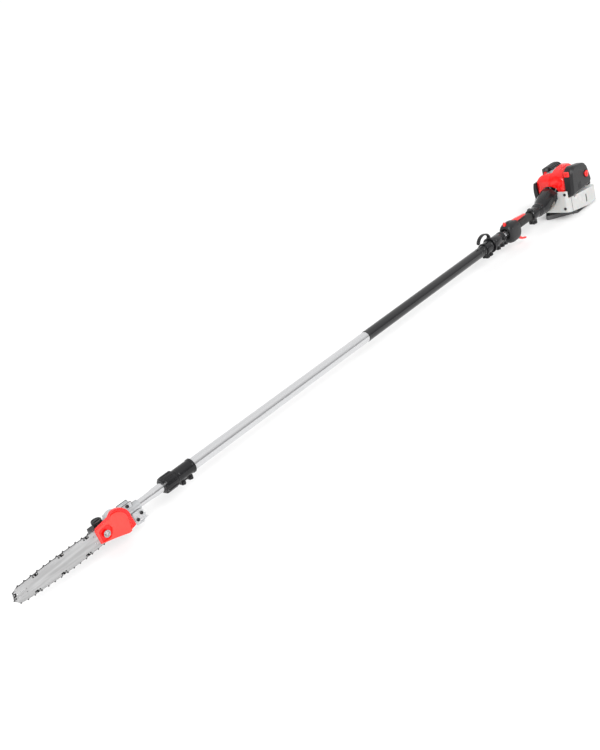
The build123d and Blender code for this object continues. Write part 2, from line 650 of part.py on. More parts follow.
with BuildPart() as tube_coupler:
    with BuildSketch(pole_plane(COUPLER_X0)):
        Circle(COUPLER_R)
    extrude(amount=COUPLER_X1 - COUPLER_X0)
    with BuildSketch(side_plane(8.5)):
        with Locations((COUPLER_X1 - 33.0, -22.5)):
            RectangleRounded(66, 24, 5)
    extrude(amount=17.0)
    with BuildSketch(pole_plane(COUPLER_X0 - 1.0)):
        Circle(OUTER_R)
    extrude(amount=OUTER_TUBE_X1 - COUPLER_X0 + 1.0, mode=Mode.SUBTRACT)
    with BuildSketch(pole_plane(COUPLER_X0 - 1.0)):
        Circle(ENGINE_TUBE_R)
    extrude(amount=120.0, mode=Mode.SUBTRACT)
    with BuildSketch(side_plane(0.8)):
        with Locations(((COUPLER_X0 + COUPLER_X1) / 2, -28.0)):
            Rectangle(120, 22)
    extrude(amount=1.6, mode=Mode.SUBTRACT)
    for x in COUPLER_BOLT_X:
        add(cross_pin(x, COUPLER_BOLT_Z, -12.0, 12.0, 2.5), mode=Mode.SUBTRACT)
    add(cross_pin(LOCATING_X, 0, -25.0, -ENGINE_TUBE_R, 4.0), mode=Mode.SUBTRACT)
tube_coupler.part.label = "tube_coupler"
export_step(tube_coupler.part, "parts/tube_coupler.step")

# ================================================================ throttle handle
HANDLE_R = 22.0
TRIGGER_X, TRIGGER_Z = HANDLE_X1 - 12.0, -25.0
LOCK_X, LOCK_Z = HANDLE_X1 + 20.0, 24.0
LOCK_PIVOT_X = LOCK_X - 33.0
SWITCH_X, SWITCH_Z = HANDLE_X0 + 14.0, 33.0


def handle_outline():
    """Side view of the throttle handle."""
    with BuildSketch(Plane.XY) as outline:
        with BuildLine():
            face = Line((HANDLE_X0 + 6, 31), (HANDLE_X0, -24))
            chin = ThreePointArc(face @ 1, (HANDLE_X0 + 14, -38), (HANDLE_X0 + 34, -43))
            heel = Line(chin @ 1, (HANDLE_X1 - 10, -43))
            back = Line(heel @ 1, (HANDLE_X1, -22))
            rear = Line(back @ 1, (HANDLE_X1, 24))
            ThreePointArc(rear @ 1, (HANDLE_X0 + 46, 35), face @ 0)
        make_face()
    return outline.sketch


def handle_half(y_left, y_right):
    """One moulded half of the throttle handle, hollow round the trigger."""
    with BuildPart() as half:
        add(extrude(on_bar_plane(handle_outline(), y_right), amount=y_right - y_left))
        with BuildSketch(pole_plane(HANDLE_X0 - 5)):
            Circle(ENGINE_TUBE_R)
        extrude(amount=120.0, mode=Mode.SUBTRACT)
        with BuildSketch(side_plane(7.0)):
            with Locations((TRIGGER_X, -32.0)):
                Rectangle(36, 34)
            with Locations((LOCK_X - 20, 24.0)):
                Rectangle(46, 22)
            with Locations((SWITCH_X + 3, 30.0)):
                Rectangle(20, 24)
        extrude(amount=14.0, mode=Mode.SUBTRACT)
    return half.part


with BuildPart() as handle_left:
    add(handle_half(-26.0, -0.05))
handle_left.part.label = "handle_left"
export_step(handle_left.part, "parts/handle_left.step")

with BuildPart() as handle_right:
    add(handle_half(0.05, 26.0))
handle_right.part.label = "handle_right"
export_step(handle_right.part, "parts/handle_right.step")

with BuildPart() as throttle_trigger:
    with BuildSketch(side_plane(5.5)):
        with BuildLine():
            Polyline((TRIGGER_X - 7, -20), (TRIGGER_X + 4, -20), (TRIGGER_X + 9, -34),
                     (TRIGGER_X + 24, -48), (TRIGGER_X + 57, -60), (TRIGGER_X + 56, -64),
                     (TRIGGER_X + 18, -56), (TRIGGER_X + 1, -42), (TRIGGER_X - 7, -30),
                     (TRIGGER_X - 7, -20))
        make_face()
        with Locations((TRIGGER_X, TRIGGER_Z)):
            Circle(2.0, mode=Mode.SUBTRACT)
    extrude(amount=11.0)
throttle_trigger.part.label = "throttle_trigger"
export_step(throttle_trigger.part, "parts/throttle_trigger.step")

with BuildPart() as throttle_lock:
    with BuildSketch(side_plane(5.5)):
        with BuildLine():
            Polyline((LOCK_X - 40, 18), (LOCK_X - 6, 18), (LOCK_X + 46, 20), (LOCK_X + 46, 24),
                     (LOCK_X - 6, 31), (LOCK_X - 34, 31), (LOCK_X - 40, 18))
        make_face()
        with Locations((LOCK_PIVOT_X, LOCK_Z)):
            Circle(2.0, mode=Mode.SUBTRACT)
    extrude(amount=11.0)
throttle_lock.part.label = "throttle_lock"
export_step(throttle_lock.part, "parts/throttle_lock.step")

with BuildPart() as stop_switch:
    with BuildSketch(side_plane(4.5)):
        with Locations((SWITCH_X, 34.0)):
            RectangleRounded(10, 16, 2)
    extrude(amount=9.0)
stop_switch.part.label = "stop_switch"
export_step(stop_switch.part, "parts/stop_switch.step")

with BuildPart() as rear_grip:
    add(tube(HANDLE_X1, GRIP_X1, ENGINE_TUBE_R + 1.7, ENGINE_TUBE_R))
rear_grip.part.label = "rear_grip"
export_step(rear_grip.part, "parts/rear_grip.step")

# ================================================================ clutch housing and drive
CLAMP_R = 22.0
CONE_R = 39.0
CLAMP_BOLT_X = (CLAMP_X0 + 14.0,)

with BuildPart() as clutch_housing:
    with BuildSketch(pole_plane(CLAMP_X0)):
        Circle(CLAMP_R)
    extrude(amount=CLAMP_X1 - CLAMP_X0)
    with BuildSketch(side_plane(11.0)):
        with Locations((CLAMP_X0 + 14.0, -27.0)):
            RectangleRounded(24, 20, 5)
    extrude(amount=22.0)
    with BuildSketch(Plane((0, 0, AXIS_Z), x_dir=(1, 0, 0), z_dir=(0, -1, 0))):
        with BuildLine():
            Polyline((CLAMP_X1 - 2, 0), (CLAMP_X1 - 2, 25), (CLAMP_X1 + 32, 34), (CONE_X1 - 16, CONE_R - 1),
                     (CONE_X1, CONE_R), (CONE_X1, 0), (CLAMP_X1 - 2, 0))
        make_face()
    revolve(axis=Axis((0, 0, AXIS_Z), (1, 0, 0)))
    # hollow for the drum
    with BuildSketch(Plane((0, 0, AXIS_Z), x_dir=(1, 0, 0), z_dir=(0, -1, 0))):
        with BuildLine():
            Polyline((CLAMP_X1 + 12, 0), (CLAMP_X1 + 14, 20), (CLAMP_X1 + 38, 30.5),
                     (CONE_X1 - 20, CONE_R - 6), (CONE_X1 + 1, CONE_R - 6), (CONE_X1 + 1, 0),
                     (CLAMP_X1 + 12, 0))
        make_face()
    revolve(axis=Axis((0, 0, AXIS_Z), (1, 0, 0)), mode=Mode.SUBTRACT)
    with BuildSketch(pole_plane(CLAMP_X0 - 1.0)):
        Circle(ENGINE_TUBE_R)
    extrude(amount=ENGINE_TUBE_X1 - CLAMP_X0 + 1.0, mode=Mode.SUBTRACT)
    with BuildSketch(pole_plane(ENGINE_TUBE_X1 - 1)):
        Circle(12.0)
    extrude(amount=60.0, mode=Mode.SUBTRACT)
    with BuildSketch(side_plane(0.8)):
        with Locations((CLAMP_X0 + 14.0, -27.0)):
            Rectangle(40, 26)
    extrude(amount=1.6, mode=Mode.SUBTRACT)
    for x in CLAMP_BOLT_X:
        add(cross_pin(x, -30.0, -15.0, 15.0, 3.0), mode=Mode.SUBTRACT)
clutch_housing.part.label = "clutch_housing"
export_step(clutch_housing.part, "parts/clutch_housing.step")

with BuildPart() as clamp_bolts:
    for x in COLLAR_BOLT_X:
        add(bolt(x, COLLAR_BOLT_Z, -8.0, 8.0, 2.5, 4.6, 4.0))
    for x in (HOOK_X0 + 9.0, HOOK_X1 - 9.0):
        add(bolt(x, HOOK_BOLT_Z, -11.0, 11.0, 2.5, 4.6, 4.0))
    for x in COUPLER_BOLT_X:
        add(bolt(x, COUPLER_BOLT_Z, -8.5, 8.5, 2.5, 5.0, 4.5))
    for x in CLAMP_BOLT_X:
        add(bolt(x, -30.0, -11.0, 11.0, 3.0, 5.2, 4.5))
    add(bolt(LOCATING_X, 0, -COUPLER_R - 0.4, -ENGINE_TUBE_R - 0.2, 4.0, 7.0, 3.5))
clamp_bolts.part.label = "clamp_bolts"
export_step(clamp_bolts.part, "parts/clamp_bolts.step")

DRUM_X0, DRUM_X1 = -128.0, -102.0

with BuildPart() as clutch_drum:
    with BuildSketch(pole_plane(DRUM_X0)):
        Circle(DRUM_R)
    extrude(amount=DRUM_X1 - DRUM_X0)
    with BuildSketch(pole_plane(DRUM_X0 + 2.5)):
        Circle(DRUM_R - 2.0)
    extrude(amount=40.0, mode=Mode.SUBTRACT)
    with BuildSketch(pole_plane(-165.0)):
        Circle(9.0)
    extrude(amount=DRUM_X0 + 165.0)
clutch_drum.part.label = "clutch_drum"
export_step(clutch_drum.part, "parts/clutch_drum.step")

with BuildPart() as clutch_shoes:
    with BuildSketch(pole_plane(-121.0)):
        Circle(DRUM_R - 2.5)
        Circle(15.0, mode=Mode.SUBTRACT)
        Rectangle(8, 90, mode=Mode.SUBTRACT)
    extrude(amount=16.0)
    with BuildSketch(pole_plane(-119.0)):
        Circle(17.0)
        Circle(8.0, mode=Mode.SUBTRACT)
    extrude(amount=12.0)
clutch_shoes.part.label = "clutch_shoes"
export_step(clutch_shoes.part, "parts/clutch_shoes.step")

# ================================================================ engine
CRANK_AXIS = Axis((0, 0, AXIS_Z), (1, 0, 0))
WEB_R, WEB_T, WEB_GAP = 22.0, 9.0, 12.0
MAIN_R = 8.0
PIN_R, CRANK_THROW = 6.0, STROKE / 2

with BuildPart() as crankshaft:
    with BuildSketch(pole_plane(-119.0)):
        Circle(MAIN_R)
    extrude(amount=CRANK_X - WEB_GAP / 2 + 119.0)
    with BuildSketch(pole_plane(CRANK_X + WEB_GAP / 2)):
        Circle(MAIN_R)
    extrude(amount=48.0)
    for x in (CRANK_X - WEB_GAP / 2 - WEB_T, CRANK_X + WEB_GAP / 2):
        with BuildSketch(pole_plane(x)):
            Circle(WEB_R)
        extrude(amount=WEB_T)
crankshaft.part.label = "crankshaft"
export_step(crankshaft.part, "parts/crankshaft.step")

FLYWHEEL_R = 54.0
BLADES = 12

with BuildPart() as flywheel:
    with BuildSketch(pole_plane(-66.0)):
        Circle(FLYWHEEL_R)
        Circle(MAIN_R, mode=Mode.SUBTRACT)
    extrude(amount=6.0)
    with BuildSketch(pole_plane(-100.0)):
        Circle(16.0)
        Circle(MAIN_R, mode=Mode.SUBTRACT)
    extrude(amount=46.0)
    with BuildSketch(pole_plane(-75.0)):
        with PolarLocations(38.0, BLADES):
            Rectangle(28.0, 3.0)
    extrude(amount=9.0)
flywheel.part.label = "flywheel"
export_step(flywheel.part, "parts/flywheel.step")

with BuildPart() as fan_housing:
    with BuildSketch(pole_plane(FAN_X0)):
        Circle(FAN_R)
    extrude(amount=FAN_X1 - FAN_X0)
    with BuildSketch(pole_plane(FAN_X0 + 4.0)):
        Circle(FAN_R - 4.0)
    extrude(amount=60.0, mode=Mode.SUBTRACT)
    with BuildSketch(pole_plane(FAN_X0 - 1.0)):
        Circle(36.0)
    extrude(amount=10.0, mode=Mode.SUBTRACT)
fan_housing.part.label = "fan_housing"
export_step(fan_housing.part, "parts/fan_housing.step")

CASE_X0, CASE_X1, CASE_R = -46.0, 40.0, 40.0

with BuildPart() as crankcase:
    with BuildSketch(pole_plane(CASE_X0)):
        Circle(CASE_R)
        with Locations((0, 20)):
            Rectangle(58, 42)
    extrude(amount=CASE_X1 - CASE_X0)
    with BuildSketch(pole_plane(FAN_X1)):
        Circle(FAN_R)
        Circle(18.0, mode=Mode.SUBTRACT)
    extrude(amount=CASE_X0 - FAN_X1)
    with BuildSketch(pole_plane(CRANK_X - 20.0)):
        Circle(29.0)
    extrude(amount=40.0, mode=Mode.SUBTRACT)
    with BuildSketch(pole_plane(-70.0)):
        Circle(MAIN_R + FIT)
    extrude(amount=150.0, mode=Mode.SUBTRACT)
    with BuildSketch(level_plane(0)):
        with Locations((CRANK_X, 0)):
            Circle(BORE_R + 3.0)
    extrude(amount=50.0, mode=Mode.SUBTRACT)
crankcase.part.label = "crankcase"
export_step(crankcase.part, "parts/crankcase.step")

CYL_Z0, CYL_Z1 = 42.0, 94.0
FINS, FIN_T = 6, 2.2

with BuildPart() as cylinder:
    with BuildSketch(level_plane(CYL_Z0)):
        with Locations((CRANK_X, 0)):
            Circle(BORE_R + 5.0)
    extrude(amount=CYL_Z1 - CYL_Z0)
    for k in range(FINS):
        with BuildSketch(level_plane(CYL_Z0 + 3.0 + k * 8.4)):
            with Locations((CRANK_X, 0)):
                RectangleRounded(70, 70, 12)
        extrude(amount=FIN_T)
    with BuildSketch(level_plane(CYL_Z0)):
        with Locations((CRANK_X, 0)):
            Circle(BORE_R)
    extrude(amount=CYL_Z1 - CYL_Z0 - 10.0, mode=Mode.SUBTRACT)
    with BuildSketch(level_plane(CYL_Z1 - 12.0)):
        with Locations((CRANK_X, 0)):
            Circle(5.0)
    extrude(amount=14.0, mode=Mode.SUBTRACT)
cylinder.part.label = "cylinder"
export_step(cylinder.part, "parts/cylinder.step")

ROD_LENGTH = 54.0
WRIST_Z = CRANK_THROW + ROD_LENGTH
PISTON_TOP = WRIST_Z + 13.0
PISTON_H = 24.0

with BuildPart() as piston:
    with BuildSketch(level_plane(PISTON_TOP - PISTON_H)):
        with Locations((CRANK_X, 0)):
            Circle(BORE_R - FIT)
    extrude(amount=PISTON_H)
    with BuildSketch(level_plane(PISTON_TOP - PISTON_H)):
        with Locations((CRANK_X, 0)):
            Circle(BORE_R - 4.0)
    extrude(amount=PISTON_H - 5.0, mode=Mode.SUBTRACT)
    with BuildSketch(pole_plane(CRANK_X - 18.0)):
        with Locations((0, WRIST_Z)):
            Circle(4.0)
    extrude(amount=36.0)
piston.part.label = "piston"
export_step(piston.part, "parts/piston.step")

with BuildPart() as connecting_rod:
    with BuildSketch(pole_plane(CRANK_X - 4.0)):
        with Locations((0, WRIST_Z)):
            Circle(7.5)
        with Locations((0, CRANK_THROW)):
            Circle(9.5)
        with Locations((0, CRANK_THROW + ROD_LENGTH / 2)):
            Rectangle(7, ROD_LENGTH)
        with Locations((0, WRIST_Z)):
            Circle(4.0 + FIT, mode=Mode.SUBTRACT)
    extrude(amount=8.0)
    with BuildSketch(pole_plane(CRANK_X - WEB_GAP / 2 + 0.4)):
        with Locations((0, CRANK_THROW)):
            Circle(PIN_R)
    extrude(amount=WEB_GAP - 0.8)
connecting_rod.part.label = "connecting_rod"
export_step(connecting_rod.part, "parts/connecting_rod.step")

with BuildPart() as spark_plug:
    with BuildSketch(level_plane(CYL_Z1 - 12.0)):
        with Locations((CRANK_X, 0)):
            Circle(5.0)
    extrude(amount=12.0)
    with BuildSketch(level_plane(CYL_Z1)):
        with Locations((CRANK_X, 0)):
            RegularPolygon(9.5, 6)
    extrude(amount=6.0)
    with BuildSketch(level_plane(CYL_Z1 + 6.0)):
        with Locations((CRANK_X, 0)):
            Circle(5.5)
    extrude(amount=4.0)
spark_plug.part.label = "spark_plug"
export_step(spark_plug.part, "parts/spark_plug.step")

# red engine shroud: a hood over the cylinder, open below and at the back
SHROUD_X0, SHROUD_X1 = -79.0, 22.0
SHROUD_W, SHROUD_TOP = 62.0, 110.0
MUFFLER_X, MUFFLER_Y0, MUFFLER_W = 31.0, 37.0, 31.0
GUARD_Y0, GUARD_Y1 = 36.5, 72.0


def shroud_outline(inset):
    """Front view of the hood."""
    half = SHROUD_W - inset
    top = SHROUD_TOP - inset
    with BuildSketch(Plane.XY) as outline:
        with BuildLine():
            left = Line((-half, 30), (-half + 3, 76))
            roof = ThreePointArc(left @ 1, (-half + 14, top - 11), (-half + 32, top))
            ridge = Line(roof @ 1, (half - 32, top))
            fall = ThreePointArc(ridge @ 1, (half - 14, top - 11), (half - 3, 76))
            right = Line(fall @ 1, (half, 30))
            Line(right @ 1, left @ 0)
        make_face()
    return outline.sketch


with BuildPart() as engine_shroud:
    add(extrude(pole_plane(SHROUD_X0) * shroud_outline(0), amount=SHROUD_X1 - SHROUD_X0))
    add(extrude(pole_plane(SHROUD_X0 + 3) * shroud_outline(3.0), amount=SHROUD_X1 - SHROUD_X0),
        mode=Mode.SUBTRACT)
    with BuildSketch(level_plane(0)):
        with Locations((0, 0)):
            Rectangle(400, 400)
    extrude(amount=33.0, mode=Mode.SUBTRACT)
    with BuildSketch(pole_plane(SHROUD_X0 - 1)):
        Circle(FAN_R + 0.3)
    extrude(amount=FAN_X1 - SHROUD_X0 + 5.0, mode=Mode.SUBTRACT)
    # window for the air filter and the carburettor
    with BuildSketch(side_plane(-40.0)):
        with Locations((10.0, 60.0)):
            Rectangle(104, 80)
    extrude(amount=40.0, mode=Mode.SUBTRACT)
    # room for the muffler and its guard
    with BuildSketch(side_plane(GUARD_Y1 + 20)):
        with Locations((MUFFLER_X, 60.0)):
            Rectangle(122, 120)
    extrude(amount=GUARD_Y1 + 20 - GUARD_Y0 + 0.5, mode=Mode.SUBTRACT)
engine_shroud.part.label = "engine_shroud"
export_step(engine_shroud.part, "parts/engine_shroud.step")

# muffler and its guard on the right, behind the hood's shoulder
with BuildPart() as muffler:
    with BuildSketch(side_plane(MUFFLER_Y0 + MUFFLER_W)):
        with Locations((MUFFLER_X, 70.0)):
            RectangleRounded(56, 46, 8)
    extrude(amount=MUFFLER_W)
muffler.part.label = "muffler"
export_step(muffler.part, "parts/muffler.step")

with BuildPart() as muffler_guard:
    with BuildSketch(side_plane(GUARD_Y1)):
        with Locations((MUFFLER_X, 75.0)):
            RectangleRounded(78, 72, 14)
    extrude(amount=GUARD_Y1 - GUARD_Y0)
    with BuildSketch(side_plane(GUARD_Y1 - 3.5)):
        with Locations((MUFFLER_X, 73.0)):
            RectangleRounded(71, 60, 11)
    extrude(amount=60.0, mode=Mode.SUBTRACT)
muffler_guard.part.label = "muffler_guard"
export_step(muffler_guard.part, "parts/muffler_guard.step")

# carburettor, primer, choke, air filter and cover on the left
CARB_X, CARB_Z = 6.0, 58.0

with BuildPart() as carburettor:
    with BuildSketch(side_plane(-35.3)):
        with Locations((CARB_X, CARB_Z)):
            RectangleRounded(34, 30, 4)
    extrude(amount=31.2)
    with BuildSketch(side_plane(-33.0)):
        with Locations((CARB_X, CARB_Z)):
            Circle(8.0)
    extrude(amount=40.0, mode=Mode.SUBTRACT)
carburettor.part.label = "carburettor"
export_step(carburettor.part, "parts/carburettor.step")

KNOB2_X, KNOB2_Z = 34.0, 62.0
PRIMER_X, PRIMER_Z, PRIMER_R = -32.0, 3.7, 6.6

with BuildPart() as air_filter:
    with BuildSketch(side_plane(-66.5)):
        with Locations((-4.0, 60.0)):
            RectangleRounded(78, 60, 10)
        with Locations((KNOB2_X, KNOB2_Z)):
            Circle(4.6, mode=Mode.SUBTRACT)
    extrude(amount=16.0)
air_filter.part.label = "air_filter"
export_step(air_filter.part, "parts/air_filter.step")

FILTER_Y0, FILTER_Y1 = -95.0, -63.0


def filter_outline(inset):
    """Side view of the air-filter cover."""
    with BuildSketch(Plane.XY) as outline:
        with BuildLine():
            front = Line((-75, 20), (-68, 88))
            brow = ThreePointArc(front @ 1, (-58, 108), (-36, 117))
            roof = Line(brow @ 1, (34, 105))
            temple = ThreePointArc(roof @ 1, (49, 98), (58, 84))
            back = Line(temple @ 1, (72, 38))
            heel = ThreePointArc(back @ 1, (68, 21), (52, 14))
            sole = Line(heel @ 1, (-60, 10.6))
            ThreePointArc(sole @ 1, (-71, 13), front @ 0)
        make_face()
        if inset:
            offset(amount=-inset, kind=Kind.ARC)
    return outline.sketch


with BuildPart() as filter_cover:
    add(extrude(on_bar_plane(filter_outline(0), FILTER_Y1), amount=FILTER_Y1 - FILTER_Y0 - 8))
    add(extrude(on_bar_plane(filter_outline(0), FILTER_Y0 + 8), amount=8, taper=38))
    add(extrude(on_bar_plane(filter_outline(3.0), FILTER_Y1), amount=22.0), mode=Mode.SUBTRACT)
    add(cross_pin(KNOB2_X, KNOB2_Z, -110.0, -60.0, 4.0 + FIT), mode=Mode.SUBTRACT)
    add(cross_pin(KNOB2_X, KNOB2_Z, -110.0, FILTER_Y0 + 3.0, 14.0), mode=Mode.SUBTRACT)
filter_cover.part.label = "filter_cover"
export_step(filter_cover.part, "parts/filter_cover.step")

with BuildPart() as filter_knob:
    add(cross_pin(KNOB2_X, KNOB2_Z, FILTER_Y0 - 1.0, FILTER_Y1 - 1.0, 4.0))
    add(cross_pin(KNOB2_X, KNOB2_Z, FILTER_Y0 - 3.0, FILTER_Y0 + 2.6, 12.0))
    with BuildSketch(side_plane(FILTER_Y0 - 3.0)):
        with Locations((KNOB2_X, KNOB2_Z)):
            Rectangle(26, 6)
            Rectangle(6, 20)
    extrude(amount=6.0)
filter_knob.part.label = "filter_knob"
export_step(filter_knob.part, "parts/filter_knob.step")

CHOKE_X, CHOKE_Y, CHOKE_Z = -74.0, -76.0, 96.0

with BuildPart() as choke_lever:
    with BuildSketch(pole_plane(CHOKE_X)):
        with Locations((CHOKE_Y, CHOKE_Z)):
            RectangleRounded(22, 20, 3)
            Circle(2.5, mode=Mode.SUBTRACT)
    extrude(amount=5.0)
choke_lever.part.label = "choke_lever"
export_step(choke_lever.part, "parts/choke_lever.step")

with BuildPart() as primer_bulb:
    with BuildSketch(side_plane(-60.0)):
        with Locations((PRIMER_X, PRIMER_Z)):
            Circle(PRIMER_R)
    extrude(amount=10.0)
primer_bulb.part.label = "primer_bulb"
export_step(primer_bulb.part, "parts/primer_bulb.step")

# fuel tank under the engine
TANK_Z0, TANK_Z1 = -73.0, 33.0
TANK_X0, TANK_X1 = -86.0, 150.0
TANK_HALF = 74.0
TANK_FRONT_Z, TANK_BEND_X = -48.0, 58.0
STARTER_X0, STARTER_X1, STARTER_R = 42.0, 92.0, 50.0
SHIELD_HOLE_R = CONE_R + 2.0


def tank_outline(inset):
    """Plan of the fuel tank."""
    with BuildSketch(Plane.XY) as outline:
        with BuildLine():
            front = Line((TANK_X0, 60), (TANK_X0, -60))
            corner = ThreePointArc(front @ 1, (TANK_X0 + 5, -70), (TANK_X0 + 16, -TANK_HALF))
            left = Line(corner @ 1, (TANK_X1 - 42, -TANK_HALF))
            rear_left = ThreePointArc(left @ 1, (TANK_X1 - 12, -58), (TANK_X1, -26))
            rear = Line(rear_left @ 1, (TANK_X1, 26))
            rear_right = ThreePointArc(rear @ 1, (TANK_X1 - 12, 58), (TANK_X1 - 42, TANK_HALF))
            right = Line(rear_right @ 1, (TANK_X0 + 16, TANK_HALF))
            ThreePointArc(right @ 1, (TANK_X0 + 5, 70), front @ 0)
        make_face()
        if inset:
            offset(amount=-inset, kind=Kind.ARC)
    return outline.sketch


with BuildPart() as fuel_tank:
    add(extrude(level_plane(TANK_Z0) * tank_outline(0), amount=TANK_Z1 - TANK_Z0))
    # the top slopes down to the rear, and only a tab on the left of the front stands higher
    with BuildSketch(side_plane(100.0)):
        with BuildLine():
            Polyline((TANK_X0 - 5, 7), (TANK_X1 - 60, -12), (TANK_X1 + 5, -22), (TANK_X1 + 5, 60),
                     (TANK_X0 - 5, 60), (TANK_X0 - 5, 7))
        make_face()
    extrude(amount=135.0, mode=Mode.SUBTRACT)
    with BuildSketch(side_plane(0)):
        with BuildLine():
            Polyline((TANK_X0 + 9, 60), (TANK_X0 + 9, 6), (TANK_X1 - 60, -12), (TANK_X1 + 5, -22),
                     (TANK_X1 + 5, 60), (TANK_X0 + 9, 60))
        make_face()
    extrude(amount=100.0, mode=Mode.SUBTRACT)
    # room for the clutch housing, the fan housing, the crankcase and the starter
    with BuildSketch(pole_plane(TANK_X0 - 1)):
        Circle(SHIELD_HOLE_R)
    extrude(amount=30.0, mode=Mode.SUBTRACT)
    with BuildSketch(pole_plane(FAN_X0 - 0.5)):
        Circle(FAN_R + 0.5)
        with Locations((0, 50)):
            Rectangle(126, 100)
    extrude(amount=CASE_X0 - FAN_X0 + 1.0, mode=Mode.SUBTRACT)
    with BuildSketch(pole_plane(CASE_X0 - 1)):
        Circle(CASE_R + 8.0)
        with Locations((0, 40)):
            Rectangle(2 * CASE_R + 16, 80)
    extrude(amount=STARTER_X0 - CASE_X0, mode=Mode.SUBTRACT)
    with BuildSketch(pole_plane(STARTER_X0 - 2)):
        Circle(STARTER_R + 1.0)
        with Locations((0, 40)):
            Rectangle(2 * STARTER_R + 2, 80)
    extrude(amount=STARTER_X1 - STARTER_X0 + 4.0, mode=Mode.SUBTRACT)
    # the bottom rises to the front, where the foot's rim fills the gap
    with BuildSketch(side_plane(100.0)):
        with BuildLine():
            Polyline((TANK_X0 - 5, TANK_Z0 - 5), (TANK_X0 - 5, TANK_FRONT_Z), (TANK_BEND_X, TANK_Z0),
                     (TANK_BEND_X, TANK_Z0 - 5), (TANK_X0 - 5, TANK_Z0 - 5))
        make_face()
    extrude(amount=200.0, mode=Mode.SUBTRACT)
    # dip for the primer bulb
    with BuildSketch(side_plane(-57.0)):
        with Locations((PRIMER_X, PRIMER_Z)):
            Rectangle(2 * PRIMER_R + 4, 2 * PRIMER_R + 4)
    extrude(amount=30.0, mode=Mode.SUBTRACT)
    # sealed hollow below the engine
    with BuildSketch(level_plane(-63.0)):
        with Locations((78, 0)):
            RectangleRounded(104, 116, 20)
    extrude(amount=9.0, mode=Mode.SUBTRACT)
    # filler neck
    with BuildSketch(level_plane(-40.0)):
        with Locations((118.0, -38.0)):
            Circle(14.0)
    extrude(amount=29.0)
fuel_tank.part.label = "fuel_tank"
export_step(fuel_tank.part, "parts/fuel_tank.step")

with BuildPart() as fuel_cap:
    with BuildSketch(level_plane(-10.7)):
        with Locations((118.0, -38.0)):
            Circle(19.0)
            with PolarLocations(20.0, 16):
                Circle(2.0, mode=Mode.SUBTRACT)
    extrude(amount=14.0)
fuel_cap.part.label = "fuel_cap"
export_step(fuel_cap.part, "parts/fuel_cap.step")

# stand under the tank: a level foot with a rim along its front and ribs up to the tank
STAND_T, RIM_H, RIM_T = 4.0, 17.0, 4.0
RIB_Y = (-36.0, 0.0, 36.0)
RIB_X0, RIB_W = -15.0, 8.0


def tank_bottom(x):
    """Height of the tank's underside at x, from the pole axis."""
    return TANK_FRONT_Z + (TANK_Z0 - TANK_FRONT_Z) * (x - TANK_X0 + 5) / (TANK_BEND_X - TANK_X0 + 5)


def stand_outline(inset):
    """Plan of the foot: cut back on the left of its front, where the tank's corner is."""
    with BuildSketch(Plane.XY) as outline:
        with BuildLine():
            left = Line((68, -61), (-12, -63))
            notch = Line(left @ 1, (-18, -47))
            front = Line(notch @ 1, (-80, 19))
            nose = ThreePointArc(front @ 1, (-83, 29), (-76, 38))
            far = Line(nose @ 1, (-30, 63))
            right = Line(far @ 1, (68, 63))
            Polyline(right @ 1, (83, 32), (83, -32), left @ 0)
        make_face()
        if inset:
            offset(amount=-inset, kind=Kind.INTERSECTION)
    return outline.sketch


with BuildPart() as engine_stand:
    add(extrude(stand_outline(0), amount=STAND_T))
    with BuildSketch(Plane.XY):
        add(stand_outline(0))
        add(stand_outline(RIM_T), mode=Mode.SUBTRACT)
        with Locations((90, 0)):
            Rectangle(204, 200, mode=Mode.SUBTRACT)
    extrude(amount=RIM_H)
    for y in RIB_Y:
        with BuildSketch(side_plane(y + RIB_W / 2)):
            with BuildLine():
                Polyline((RIB_X0, STAND_T - AXIS_Z), (RIB_X0, tank_bottom(RIB_X0)),
                         (TANK_BEND_X, TANK_Z0), (TANK_BEND_X, STAND_T - AXIS_Z),
                         (RIB_X0, STAND_T - AXIS_Z))
            make_face()
        extrude(amount=RIB_W)
engine_stand.part.label = "engine_stand"
export_step(engine_stand.part, "parts/engine_stand.step")

with BuildPart() as starter_housing:
    with BuildSketch(pole_plane(CASE_X1)):
        Circle(STARTER_R)
    extrude(amount=STARTER_X1 - CASE_X1)
    with BuildSketch(pole_plane(CASE_X1)):
        Circle(STARTER_R - 4.0)
    extrude(amount=STARTER_X1 - CASE_X1 - 4.0, mode=Mode.SUBTRACT)
    with BuildSketch(pole_plane(STARTER_X1 - 24.0)):
        Circle(5.0)
    extrude(amount=22.0)
    with BuildSketch(level_plane(STARTER_R - 8.0)):
        with Locations((70.0, 0.0)):
            Circle(6.0)
    extrude(amount=16.0)
    with BuildSketch(level_plane(STARTER_R - 10.0)):
        with Locations((70.0, 0.0)):
            Circle(2.5)
    extrude(amount=20.0, mode=Mode.SUBTRACT)
starter_housing.part.label = "starter_housing"
export_step(starter_housing.part, "parts/starter_housing.step")

PULLEY_R = 30.0

with BuildPart() as starter_pulley:
    with BuildSketch(pole_plane(STARTER_X1 - 22.0)):
        Circle(PULLEY_R)
    extrude(amount=12.0)
    with BuildSketch(pole_plane(STARTER_X1 - 18.0)):
        Circle(PULLEY_R + 2.0)
        Circle(PULLEY_R - 5.0, mode=Mode.SUBTRACT)
    extrude(amount=4.0, mode=Mode.SUBTRACT)
    with BuildSketch(pole_plane(STARTER_X1 - 30.0)):
        Circle(5.0 + FIT)
    extrude(amount=30.0, mode=Mode.SUBTRACT)
starter_pulley.part.label = "starter_pulley"
export_step(starter_pulley.part, "parts/starter_pulley.step")

with BuildPart() as starter_handle:
    with BuildSketch(level_plane(STARTER_R + 8.3)):
        with Locations((70.0, 0.0)):
            RectangleRounded(18, 46, 8)
    extrude(amount=14.0)
starter_handle.part.label = "starter_handle"
export_step(starter_handle.part, "parts/starter_handle.step")
